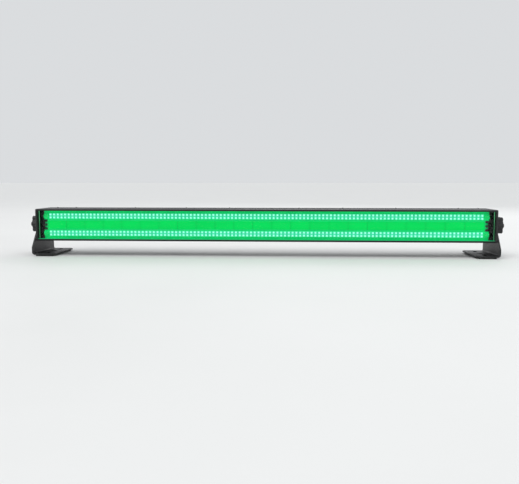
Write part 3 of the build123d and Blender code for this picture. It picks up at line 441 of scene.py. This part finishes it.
def metal(name, dark, pale, roughness, stretch=(1.0, 1.0, 1.0)):
    """Bare or plated metal with fine marks; stretch gives the marks a direction."""
    g = Graph(name)
    rounded, edge = g.edges(0.0002)
    marks = g.noise(900, 3, stretch)
    tone = g.math("ADD", g.noise(130, 3), g.times(edge, 0.3))
    colour = g.mix(g.spread(tone, 0.3, 0.8), dark, pale)
    rough = g.vary(marks, roughness - 0.06, roughness + 0.08)
    return g.surface(colour, rough, g.bump(marks, 0.00003, 0.5, rounded), metallic=1.0)


def circuit_board():
    """Green-black solder mask with copper tracks just visible, and tinned pads."""
    g = Graph("circuit_board")
    tracks = g.spread(g.noise(260, 1, (1.0, 1.0, 0.25)), 0.48, 0.52)
    pads = g.spread(g.cells(330), 0.16, 0.12)
    mask = g.mix(tracks, (0.004, 0.030, 0.016), (0.010, 0.060, 0.030))
    colour = g.mix(pads, mask, (0.55, 0.54, 0.50))
    roughness = g.vary(g.noise(700, 2), 0.26, 0.42)
    normal = g.bump(tracks, 0.00003, 0.8)
    return g.surface(colour, roughness, normal, metallic=g.times(pads, 0.9))


def cable_sheath(name, colours):
    """PVC leads; each height across the bay has one of the colours."""
    g = Graph(name)
    _, _, z = g.axes()
    bands = g.spread(z, AXIS_Z - LEAD_SPAN, AXIS_Z + LEAD_SPAN)
    ramp = g.add("ShaderNodeValToRGB", {0: bands})
    ramp.color_ramp.interpolation = "CONSTANT"
    stops = ramp.color_ramp.elements
    while len(stops) < len(colours):
        stops.new(len(stops) / len(colours))
    for i, colour in enumerate(colours):
        stops[i].position = i / len(colours)
        stops[i].color = rgba(colour)
    grain = g.noise(900, 3)
    return g.surface(ramp.outputs[0], g.vary(grain, 0.38, 0.52), g.bump(grain, 0.00003))


def smoked_window():
    """Dark tinted window over the display."""
    g = Graph("smoked_window")
    smear = g.spread(g.noise(120, 4), 0.4, 0.8, 0.03, 0.12)
    return g.end(g.pane(g.sheen(1.45), (0.55, 0.50, 0.50), (0.9, 0.9, 0.9), smear))


def fuse_glass():
    """Glass tube with plated ends, told apart by their place along Y."""
    g = Graph("fuse_glass")
    low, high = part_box("fuse_cartridge")
    _, y, _ = g.axes()
    end_from = (high.y - low.y) / 2 - FUSE_END
    ends = g.spread(g.away(y, (low.y + high.y) / 2), end_from - 0.0001, end_from + 0.0001)
    grain = g.noise(800, 2)
    colour = g.mix(ends, (0.62, 0.66, 0.66), (0.72, 0.70, 0.66))
    roughness = g.vary(grain, 0.10, 0.26)
    return g.surface(colour, roughness, g.bump(grain, 0.00002), metallic=ends)


def segment(name, strength):
    """A display segment, lit or dark."""
    g = Graph(name)
    grain = g.noise(1400, 2)
    glow = {"emission": SEGMENT_RED, "strength": g.spread(grain, 0.2, 0.8, strength * 0.85, strength)}
    return g.surface((0.05, 0.04, 0.04), 0.4, g.bump(grain, 0.00002), **glow)


def print_ink(name, dark, pale):
    g = Graph(name)
    grain = g.noise(1300, 3)
    colour = g.mix(grain, dark, pale)
    return g.surface(colour, g.vary(grain, 0.45, 0.6), g.bump(grain, 0.00001))


def pale_floor():
    g = Graph("pale_floor")
    grain = g.noise(3, 5)
    colour = g.mix(grain, (0.76, 0.76, 0.75), (0.82, 0.82, 0.81))
    return g.surface(colour, g.vary(grain, 0.6, 0.75), g.bump(g.noise(160, 3), 0.0002, 0.3))


# ---------------------------------------------------------------- CAD nodes
def finish_nodes():
    """Gives every carried-over CAD node its material."""
    anodised, cap = black_anodised(), brushed_cap()
    sheet = powder_coat("sheet_coat", (0.006, 0.006, 0.007), (0.022, 0.022, 0.023), 900)
    bracket = powder_coat("bracket_coat", (0.007, 0.007, 0.008), (0.026, 0.026, 0.027), 750)
    board, package = board_glow(), package_glow()
    oxide = metal("black_oxide_screw", (0.030, 0.030, 0.032), (0.085, 0.083, 0.080), 0.38)
    zinc = metal("zinc_plate", (0.50, 0.50, 0.47), (0.66, 0.66, 0.66), 0.30)
    brass = metal("brass_pin", (0.58, 0.42, 0.17), (0.78, 0.60, 0.28), 0.28)
    steel = metal("stud_steel", (0.44, 0.44, 0.43), (0.60, 0.60, 0.60), 0.30, (0.1, 1, 1))
    caged = metal("cage_sheet", (0.46, 0.47, 0.48), (0.62, 0.63, 0.64), 0.36, (0.05, 1, 1))
    socket = moulded("socket_black", (0.006, 0.006, 0.007), (0.016, 0.016, 0.017), 0.40)
    fan = moulded("fan_black", (0.010, 0.010, 0.010), (0.022, 0.022, 0.022), 0.36)
    circuit = circuit_board()
    seal = rubber("seal_rubber", (0.012, 0.012, 0.012), (0.022, 0.022, 0.022))
    pad = rubber("pad_rubber", (0.016, 0.016, 0.016), (0.045, 0.044, 0.042))
    knob = turned_knob()
    button = moulded("button_grey", (0.10, 0.10, 0.105), (0.17, 0.17, 0.175), 0.5)
    finishes = {
        "housing_extrusion": anodised,
        "end_cap_right": cap,
        "end_cap_left": cap,
        "rear_cover": sheet,
        "safety_eye": sheet,
        "bracket_right": bracket,
        "bracket_left": bracket,
        "front_cover": clear_window(),
        "seals": seal,
        "rgb_board_upper": board,
        "rgb_board_lower": board,
        "rgb_leds_upper": package,
        "rgb_leds_lower": package,
        "white_board": moulded("black_mask", (0.008, 0.010, 0.009), (0.018, 0.022, 0.020), 0.4),
        "white_leds": moulded("white_led_dome", (0.55, 0.5, 0.2), (0.8, 0.75, 0.35), 0.3),
        "reflector_tray": lit_white("tray_wash", INNER_GLOW, 1.0, BAND_HIGH.x - 0.001, 0.2),
        "diffuser_strip": band_glow(),
        "board_screws": lit_screw(),
        "psu_case": caged,
        "psu_board": circuit,
        "driver_board_right": circuit,
        "driver_board_left": circuit,
        "board_standoffs": brass,
        "control_board": circuit,
        "display_module": moulded("display_block", (0.006, 0.006, 0.006), (0.014, 0.012, 0.012), 0.45),
        "control_panel": moulded("panel_black", (0.005, 0.005, 0.006), (0.012, 0.012, 0.013), 0.30),
        "display_window": smoked_window(),
        "data_in_socket": socket,
        "data_out_socket": metal("socket_nickel", (0.36, 0.36, 0.37), (0.56, 0.56, 0.56), 0.34),
        "data_out_core": socket,
        "data_out_latch": metal("latch_steel", (0.42, 0.42, 0.42), (0.60, 0.60, 0.60), 0.28),
        "power_in_socket": moulded("socket_blue", (0.010, 0.060, 0.250), (0.020, 0.110, 0.380), 0.38),
        "power_out_socket": moulded("socket_grey", (0.30, 0.31, 0.32), (0.44, 0.45, 0.46), 0.40),
        "connector_contacts": brass,
        "fuse_holder": socket,
        "fuse_cap": socket,
        "fuse_cartridge": fuse_glass(),
        "fan_guards": metal("guard_wire", (0.022, 0.022, 0.023), (0.060, 0.060, 0.060), 0.34),
        "pivot_nuts": zinc,
        "friction_washers": moulded("fibre_washer", (0.10, 0.035, 0.022), (0.19, 0.075, 0.045), 0.7),
        "knob_stud_right": steel,
        "knob_stud_left": steel,
        "wiring_mains": cable_sheath("mains_sheath", [(0.16, 0.05, 0.02), (0.02, 0.08, 0.35)]),
        "wiring_low_voltage": cable_sheath(
            "signal_sheath", [(0.012, 0.012, 0.012), (0.03, 0.03, 0.032), (0.012, 0.012, 0.012)]
        ),
    }
    for side in ("right", "left"):
        finishes["fan_frame_" + side] = fan
        finishes["fan_rotor_" + side] = fan
        finishes["knob_" + side] = knob
        finishes["foot_pads_" + side] = pad
    for name in ("rear_cover_screws", "end_cap_screws", "panel_screws", "fan_screws"):
        finishes[name] = oxide
    for name in ("mode", "down", "up", "enter"):
        finishes["button_" + name] = button
    for name, node in nodes.items():
        node.data.materials.clear()
        node.data.materials.append(finishes[name])


# ---------------------------------------------------------------- pieces
def piece(name, points, faces, material, slot, body="housing", smooth=False):
    """A mesh in the frame's metres that rides on a body."""
    mesh = bpy.data.meshes.new(name)
    mesh.from_pydata(points, [], faces)
    mesh.materials.append(material)
    mesh.polygons.foreach_set("use_smooth", [smooth] * len(mesh.polygons))
    mesh.update()
    obj = bpy.data.objects.new(name, mesh)
    bpy.context.scene.collection.objects.link(obj)
    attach(obj, body)
    return obj


def soften(obj, width):
    """Rounds a piece's edges."""
    bevel = obj.modifiers.new("soften", "BEVEL")
    bevel.width = width
    bevel.segments = 2


def ordered(a, b):
    return min(a, b), max(a, b)


def middle_of(node):
    low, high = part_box(node)
    return (low + high) / 2


def led_centres(node):
    """The middle of each LED's front face on one strip."""
    low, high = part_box(node)
    for i in range(COLUMNS):
        for z in (low.z + LED_SIZE / 2, high.z - LED_SIZE / 2):
            yield Vector((low.x + LED_SIZE / 2 + i * LED_PITCH, low.y, z))


def led_lenses(name, node, material, seed):
    """Shallow domes in the wells of the LED packages, each a little brighter or dimmer than the next."""
    chance = random.Random(seed)
    points, faces, rim, drift = [], [], [], []
    for centre in led_centres(node):
        first = len(points)
        level = chance.uniform(0.94, 1.06)
        points.append(centre + Vector((0, -LENS_RISE, 0)))
        rim.append(0.0)
        for share, height in LENS_RINGS:
            for k in range(LENS_SEGMENTS):
                angle = math.tau * k / LENS_SEGMENTS
                radial = Vector((math.cos(angle), 0, math.sin(angle))) * (share * LENS_R)
                points.append(centre + radial + Vector((0, -height * LENS_RISE, 0)))
                rim.append(share)
        drift += [level] * (len(points) - first)
        for k in range(LENS_SEGMENTS):
            after = (k + 1) % LENS_SEGMENTS
            faces.append((first, first + 1 + k, first + 1 + after))
            for ring in range(len(LENS_RINGS) - 1):
                inner = first + 1 + ring * LENS_SEGMENTS
                outer = inner + LENS_SEGMENTS
                faces.append((inner + k, outer + k, outer + after, inner + after))
    obj = piece(name, points, faces, material, "led_package", smooth=True)
    for label, values in (("rim", rim), ("drift", drift)):
        layer = obj.data.attributes.new(label, "FLOAT", "POINT")
        layer.data.foreach_set("value", values)


def bar_points(low, high):
    """The eight corners of a small bar."""
    return [Vector((x, y, z)) for x in (low.x, high.x) for y in (low.y, high.y) for z in (low.z, high.z)]


def bars(name, boxes, material, slot, bevel=0.0001):
    """Many small bars as one piece, with their edges bevelled."""
    points, faces = [], []
    for low, high in boxes:
        first = len(points)
        points += bar_points(low, high)
        faces += [tuple(first + i for i in face) for face in BAR_FACES]
    soften(piece(name, points, faces, material, slot), bevel)


def led_terminals(name, node, material):
    """Four soldered terminals beside each LED package."""
    board_y = BOARD_HIGH.y - BOARD_T
    boxes = []
    for centre in led_centres(node):
        for side in (-1, 1):
            package = centre.x + side * LED_SIZE / 2
            low_x, high_x = ordered(package, package + side * TERMINAL)
            for z in (centre.z - TERMINAL_UP, centre.z + TERMINAL_UP):
                low = Vector((low_x, board_y - TERMINAL_T, z - TERMINAL / 2))
                high = Vector((high_x, board_y, z + TERMINAL / 2))
                boxes.append((low, high))
    bars(name, boxes, material, "contact", bevel=0.00008)


def board_spacers(material):
    """White strips that fill the gaps between the tray and the two strip boards."""
    tray_low, tray_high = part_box("reflector_tray")
    clearance = 0.00005
    from_axis = (tray_high.z - tray_low.z) / 2 + clearance
    to_board = BOARD_LOW.z - AXIS_Z - clearance
    boxes = []
    for side in (-1, 1):
        low_z, high_z = ordered(AXIS_Z + side * from_axis, AXIS_Z + side * to_board)
        low = Vector((-BOARD_HIGH.x, BOARD_LOW.y, low_z))
        high = Vector((BOARD_HIGH.x, BOARD_HIGH.y - clearance, high_z))
        boxes.append((low, high))
    bars("board_spacers", boxes, material, "tray")


def chamber_liner(name, side, material):
    """White sheet folded along the top or bottom of the light chamber, with a short return."""
    clearance = 0.0001
    wall = AXIS_Z + side * CHAMBER_HALF
    inner_wall = wall - side * LINER_T
    return_edge = wall - side * LINER_RETURN
    board_edge = AXIS_Z + side * (BOARD_HIGH.z - AXIS_Z + 2 * clearance)
    web_y = BOARD_HIGH.y - clearance
    front_y = COVER_BACK + LINER_SETBACK
    section = [
        (web_y, board_edge),
        (web_y, wall),
        (front_y, wall),
        (front_y, return_edge),
        (front_y + LINER_T, return_edge),
        (front_y + LINER_T, inner_wall),
        (web_y - LINER_T, inner_wall),
        (web_y - LINER_T, board_edge),
    ]
    points = [Vector((x, y, z)) for x in (-BOARD_HIGH.x, BOARD_HIGH.x) for y, z in section]
    count = len(section)
    faces = [(i, (i + 1) % count, count + (i + 1) % count, count + i) for i in range(count)]
    faces += [tuple(range(count)), tuple(reversed(range(count, 2 * count)))]
    soften(piece(name, points, faces, material, "tray"), 0.00012)


def end_trims(material):
    """A slim clear strip at each end of the chamber, where stray light catches."""
    clearance = 0.0001
    outer = BODY_HIGH.x - clearance
    back_y = BOARD_HIGH.y - TRIM_DEPTH
    boxes = []
    for side in (-1, 1):
        low_x, high_x = ordered(side * (outer - TRIM_T), side * outer)
        low = Vector((low_x, back_y - TRIM_DEPTH, AXIS_Z - TRIM_HALF))
        high = Vector((high_x, back_y, AXIS_Z + TRIM_HALF))
        boxes.append((low, high))
    bars("end_trims", boxes, material, "cover_clear")


# ---------------------------------------------------------------- rear panel pieces
def segment_outline(along_x, centre_x, centre_z, length):
    """A six-sided segment, drawn flat or upright."""
    half, tip = length / 2, SEGMENT_T / 2
    flat = half - tip
    shape = [(-half, 0), (-flat, tip), (flat, tip), (half, 0), (flat, -tip), (-flat, -tip)]
    if not along_x:
        shape = [(b, a) for a, b in reversed(shape)]
    return [(centre_x + a, centre_z + b) for a, b in shape]


def prism(outline, low_y, high_y, points, faces):
    """Adds a solid on an x and z outline that runs anticlockwise as seen from behind the bar."""
    first, count = len(points), len(outline)
    points += [Vector((x, y, z)) for y in (low_y, high_y) for x, z in outline]
    faces.append(tuple(first + i for i in reversed(range(count))))
    faces.append(tuple(first + count + i for i in range(count)))
    for i in range(count):
        after = (i + 1) % count
        faces.append((first + i, first + after, first + count + after, first + count + i))


def display_digits(on, off):
    """Four seven-segment digits on the display's rear face, showing a plain channel number."""
    low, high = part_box("display_module")
    pitch = (high.x - low.x) / len(CHANNEL)
    width = pitch * DIGIT_WIDTH
    middle_z = (low.z + high.z) / 2
    spots = {
        "a": (True, 0, DIGIT_HEIGHT / 2),
        "g": (True, 0, 0),
        "d": (True, 0, -DIGIT_HEIGHT / 2),
        "b": (False, -width / 2, DIGIT_HEIGHT / 4),
        "c": (False, -width / 2, -DIGIT_HEIGHT / 4),
        "f": (False, width / 2, DIGIT_HEIGHT / 4),
        "e": (False, width / 2, -DIGIT_HEIGHT / 4),
    }
    lit, dark = ([], []), ([], [])
    for place, character in enumerate(CHANNEL):
        centre = high.x - pitch * (place + 0.5)
        for key, (flat, dx, dz) in spots.items():
            length = (width if flat else DIGIT_HEIGHT / 2) - SEGMENT_GAP
            outline = segment_outline(flat, centre + dx, middle_z + dz, length)
            target = lit if key in SEGMENTS_ON[character] else dark
            prism(outline, high.y, high.y + SEGMENT_RISE, *target)
    piece("display_digits_lit", *lit, on, "display")
    piece("display_digits_dark", *dark, off, "display")


def block(left, right, low, high):
    """A rectangle's outline, drawn as (to the right, up)."""
    return [(left, low), (right, low), (right, high), (left, high)]


def printed(shape, middle, face_y, points, faces):
    """Adds one printed shape, seen from behind the bar, round a middle on a face."""
    outline = [(middle[0] - a, middle[1] + b) for a, b in shape]
    prism(outline, face_y - ICON_T / 2, face_y + ICON_T / 2, points, faces)


def button_icons(ink):
    """A printed mark on each key: two arrows, a bar pair and a bent arrow, with no lettering."""
    marks = {
        "up": [[(-1, -0.7), (1, -0.7), (0, 1)]],
        "down": [[(-1, 0.7), (0, -1), (1, 0.7)]],
        "mode": [block(-1, 1, 0.3, 0.8), block(-1, 1, -0.8, -0.3)],
        "enter": [
            block(-1, -0.5, -0.1, 1),
            block(-1, 0.2, -0.6, -0.1),
            [(0.2, -1.0), (1, -0.35), (0.2, 0.3)],
        ],
    }
    for name, shapes in marks.items():
        middle = middle_of("button_" + name)
        face_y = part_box("button_" + name)[1].y
        points, faces = [], []
        for shape in shapes:
            sized = [(a * ICON_SIZE, b * ICON_SIZE) for a, b in shape]
            printed(sized, (middle.x, middle.z), face_y, points, faces)
        piece("icon_" + name, points, faces, ink, "button", body="button_" + name)


def ring_outline(low_x, high_x, low_z, high_z, radius):
    """A rounded rectangle in x and z, anticlockwise."""
    steps = 6
    corners = [(high_x, high_z, 0), (low_x, high_z, 1), (low_x, low_z, 2), (high_x, low_z, 3)]
    outline = []
    for x, z, quarter in corners:
        centre_x = x - math.copysign(radius, x - (low_x + high_x) / 2)
        centre_z = z - math.copysign(radius, z - (low_z + high_z) / 2)
        for k in range(steps + 1):
            angle = math.pi / 2 * (quarter + k / steps)
            outline.append((centre_x + radius * math.cos(angle), centre_z + radius * math.sin(angle)))
    return outline


def printed_frame(name, bounds, radius, y, ink, slot):
    """A thin printed line round a rounded rectangle."""
    low_x, high_x, low_z, high_z = bounds
    line = PRINT_LINE
    outer = ring_outline(low_x, high_x, low_z, high_z, radius)
    inner = ring_outline(low_x + line, high_x - line, low_z + line, high_z - line, radius - line)
    count = len(outer)
    levels = (y - ICON_T / 2, y + ICON_T / 2)
    points = [Vector((x, level, z)) for level in levels for x, z in outer + inner]
    faces = []
    for i in range(count):
        after = (i + 1) % count
        faces.append((i, after, count + after, count + i))
        faces.append((2 * count + i, 3 * count + i, 3 * count + after, 2 * count + after))
        faces.append((i, 2 * count + i, 2 * count + after, after))
        faces.append((count + i, count + after, 3 * count + after, 3 * count + i))
    piece(name, points, faces, ink, slot)


def panel_print(ink):
    """Lines printed on the control panel round the window and the keys."""
    face_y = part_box("control_panel")[1].y
    middle_z = middle_of("control_panel").z
    low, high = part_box("display_module")
    first_key, last_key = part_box("button_enter")[0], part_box("button_mode")[1]
    margin = 0.0022
    key_half = 0.0095
    window = (low.x - margin, high.x + margin, low.z - margin, high.z + margin)
    keys = (first_key.x - margin, last_key.x + margin, middle_z - key_half, middle_z + key_half)
    printed_frame("print_window_frame", window, 0.002, face_y, ink, "panel_black")
    printed_frame("print_key_frame", keys, 0.003, face_y, ink, "panel_black")


def symbol_shapes():
    """Outlines of the plain symbols, drawn as (to the right, up) from their middle."""
    line = SYMBOL_LINE
    half_line = line / 2

    # arrows: one up to a bar, and one away from a bar
    tail, neck, tip, barb = -0.0034, 0.0006, 0.0030, 0.0013
    bar_at, bar_half = 0.0034, 0.0024
    shaft = block(tail, neck, -half_line, half_line)
    head = [(neck, -barb), (tip, 0), (neck, barb)]
    stop = block(bar_at, bar_at + line, -bar_half, bar_half)
    start = block(-bar_at - line, -bar_at, -bar_half, bar_half)
    away = [[(a + line, b) for a, b in shape] for shape in (shaft, head)]

    # mains wave: one period as a ribbon
    steps, wave_half, wave_rise = 16, 0.0032, 0.0011
    wave = []
    for k in range(steps + 1):
        share = k / steps
        wave.append((wave_half * (2 * share - 1), wave_rise * math.sin(math.tau * share)))
    ribbon = []
    for (a0, b0), (a1, b1) in zip(wave, wave[1:]):
        below = [(a0, b0 - half_line), (a1, b1 - half_line)]
        above = [(a1, b1 + half_line), (a0, b0 + half_line)]
        ribbon.append(below + above)

    # earth mark: a stem over three bars that get shorter
    earth = [block(-half_line, half_line, 0.0004, 0.0030)]
    for half, top in ((0.0026, 0.0004), (0.0017, -0.0008), (0.0008, -0.0020)):
        earth.append(block(-half, half, top - line, top))

    # fuse mark: a wire through a box
    wire_half, box_half, box_rise = 0.0042, 0.0030, 0.0014
    fuse = [block(-wire_half, wire_half, -half_line, half_line)]
    for side in (-1, 1):
        fuse.append(block(-box_half, box_half, *ordered(side * (box_rise - line), side * box_rise)))
        left, right = ordered(side * (box_half - line), side * box_half)
        fuse.append(block(left, right, line - box_rise, box_rise - line))

    return {
        "fuse": fuse,
        "in": [shaft, head, stop],
        "out": [*away, start],
        "wave": ribbon,
        "earth": earth,
    }


def rear_print(ink):
    """Symbols on the rear cover: arrows in and out, the mains wave, the earth mark, and group lines."""
    face_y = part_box("rear_cover")[1].y
    shapes = symbol_shapes()
    data_up, power_up, second_up, earth_up = 0.0235, 0.0245, 0.0195, -0.0215
    marks = [
        ("data_in_socket", "in", data_up),
        ("data_out_socket", "out", data_up),
        ("power_in_socket", "in", power_up),
        ("power_in_socket", "wave", second_up),
        ("power_out_socket", "out", power_up),
        ("power_out_socket", "wave", second_up),
        ("power_in_socket", "earth", earth_up),
        ("power_out_socket", "earth", earth_up),
        ("fuse_cap", "fuse", second_up),
    ]
    points, faces = [], []
    for node, symbol, up in marks:
        for shape in shapes[symbol]:
            printed(shape, (middle_of(node).x, AXIS_Z + up), face_y, points, faces)
    piece("rear_symbols", points, faces, ink, "sheet_steel")
    half_height, margin, corner = 0.0285, 0.006, 0.003
    groups = {
        "print_data_frame": ("data_in_socket", "data_out_socket"),
        "print_power_frame": ("fuse_cap", "power_out_socket"),
    }
    for name, (first, last) in groups.items():
        low_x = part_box(first)[0].x - margin
        high_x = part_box(last)[1].x + margin
        bounds = (low_x, high_x, AXIS_Z - half_height, AXIS_Z + half_height)
        printed_frame(name, bounds, corner, face_y, ink, "sheet_steel")


# ---------------------------------------------------------------- studio
def area_light(name, place, target, size, power, colour=(1.0, 1.0, 1.0)):
    lamp = bpy.data.lights.new(name, "AREA")
    lamp.shape = "RECTANGLE"
    lamp.size, lamp.size_y = size
    lamp.energy = power
    lamp.color = colour
    obj = bpy.data.objects.new(name, lamp)
    obj.location = place
    obj.rotation_euler = (Vector(target) - Vector(place)).to_track_quat("-Z", "Y").to_euler()
    bpy.context.scene.collection.objects.link(obj)


def soft_sun(name, towards, strength, spread):
    """An even wash of light over the whole floor; spread is the width of the source in degrees."""
    lamp = bpy.data.lights.new(name, "SUN")
    lamp.energy = strength
    lamp.angle = math.radians(spread)
    obj = bpy.data.objects.new(name, lamp)
    obj.rotation_euler = Vector(towards).to_track_quat("Z", "Y").to_euler()
    bpy.context.scene.collection.objects.link(obj)


def studio():
    scene = bpy.context.scene
    scene.view_settings.view_transform = "Standard"
    world = bpy.data.worlds.new("pale_room")
    world.use_nodes = True
    backdrop = world.node_tree.nodes["Background"]
    backdrop.inputs["Color"].default_value = (0.86, 0.88, 0.90, 1.0)
    backdrop.inputs["Strength"].default_value = 0.82
    scene.world = world
    half = FLOOR_HALF
    corners = [(-half, -half, 0), (half, -half, 0), (half, half, 0), (-half, half, 0)]
    mesh = bpy.data.meshes.new("floor")
    mesh.from_pydata(corners, [], [(0, 1, 2, 3)])
    mesh.materials.append(pale_floor())
    floor = bpy.data.objects.new("floor", mesh)
    scene.collection.objects.link(floor)
    middle = (0, 0, AXIS_Z)
    soft_sun("overhead", towards=(-1.0, -1.2, 2.4), strength=0.85, spread=50.0)
    area_light("key", (-1.5, -1.9, 2.2), middle, (1.8, 1.2), 8, (1.0, 0.98, 0.95))
    area_light("fill", (1.9, -1.6, 1.1), middle, (1.6, 1.2), 6, (0.94, 0.97, 1.0))
    area_light("rim", (0.6, 2.1, 1.6), middle, (2.2, 0.8), 12)


def camera():
    azimuth, elevation = math.radians(CAMERA_AZIMUTH), math.radians(CAMERA_ELEVATION)
    level = math.cos(elevation)
    away = Vector((math.sin(azimuth) * level, -math.cos(azimuth) * level, math.sin(elevation)))
    middle = Vector((0, 0, AXIS_Z))
    data = bpy.data.cameras.new("camera")
    data.sensor_fit = "HORIZONTAL"
    data.angle = math.radians(FIELD_OF_VIEW)
    obj = bpy.data.objects.new("camera", data)
    obj.location = middle + away * CAMERA_DISTANCE
    look = middle + AIM_OFFSET - obj.location
    obj.rotation_euler = look.to_track_quat("-Z", "Y").to_euler()
    bpy.context.scene.collection.objects.link(obj)
    bpy.context.scene.camera = obj


# ---------------------------------------------------------------- the scene
def main():
    finish_nodes()
    lens = lens_glow()
    tin = metal("solder_tin", (0.50, 0.52, 0.50), (0.68, 0.70, 0.68), 0.32)
    wash = lit_white("liner_wash", BOARD_GLOW, level=1.06, fade_from=LEDS_HIGH.x, at_end=0.7)
    inner_wash = lit_white("spacer_wash", INNER_GLOW, level=0.95, fade_from=LEDS_HIGH.x, at_end=0.5)
    for seed, place in enumerate(("upper", "lower")):
        led_lenses("led_lenses_" + place, "rgb_leds_" + place, lens, seed)
        led_terminals("led_terminals_" + place, "rgb_leds_" + place, tin)
    board_spacers(inner_wash)
    chamber_liner("chamber_liner_upper", 1, wash)
    chamber_liner("chamber_liner_lower", -1, wash)
    end_trims(trim_catch())
    display_digits(segment("segment_lit", 5.0), segment("segment_dark", 0.0))
    ink = print_ink("panel_ink", (0.55, 0.55, 0.55), (0.68, 0.68, 0.68))
    button_icons(ink)
    panel_print(ink)
    rear_print(ink)
    studio()
    camera()


main()
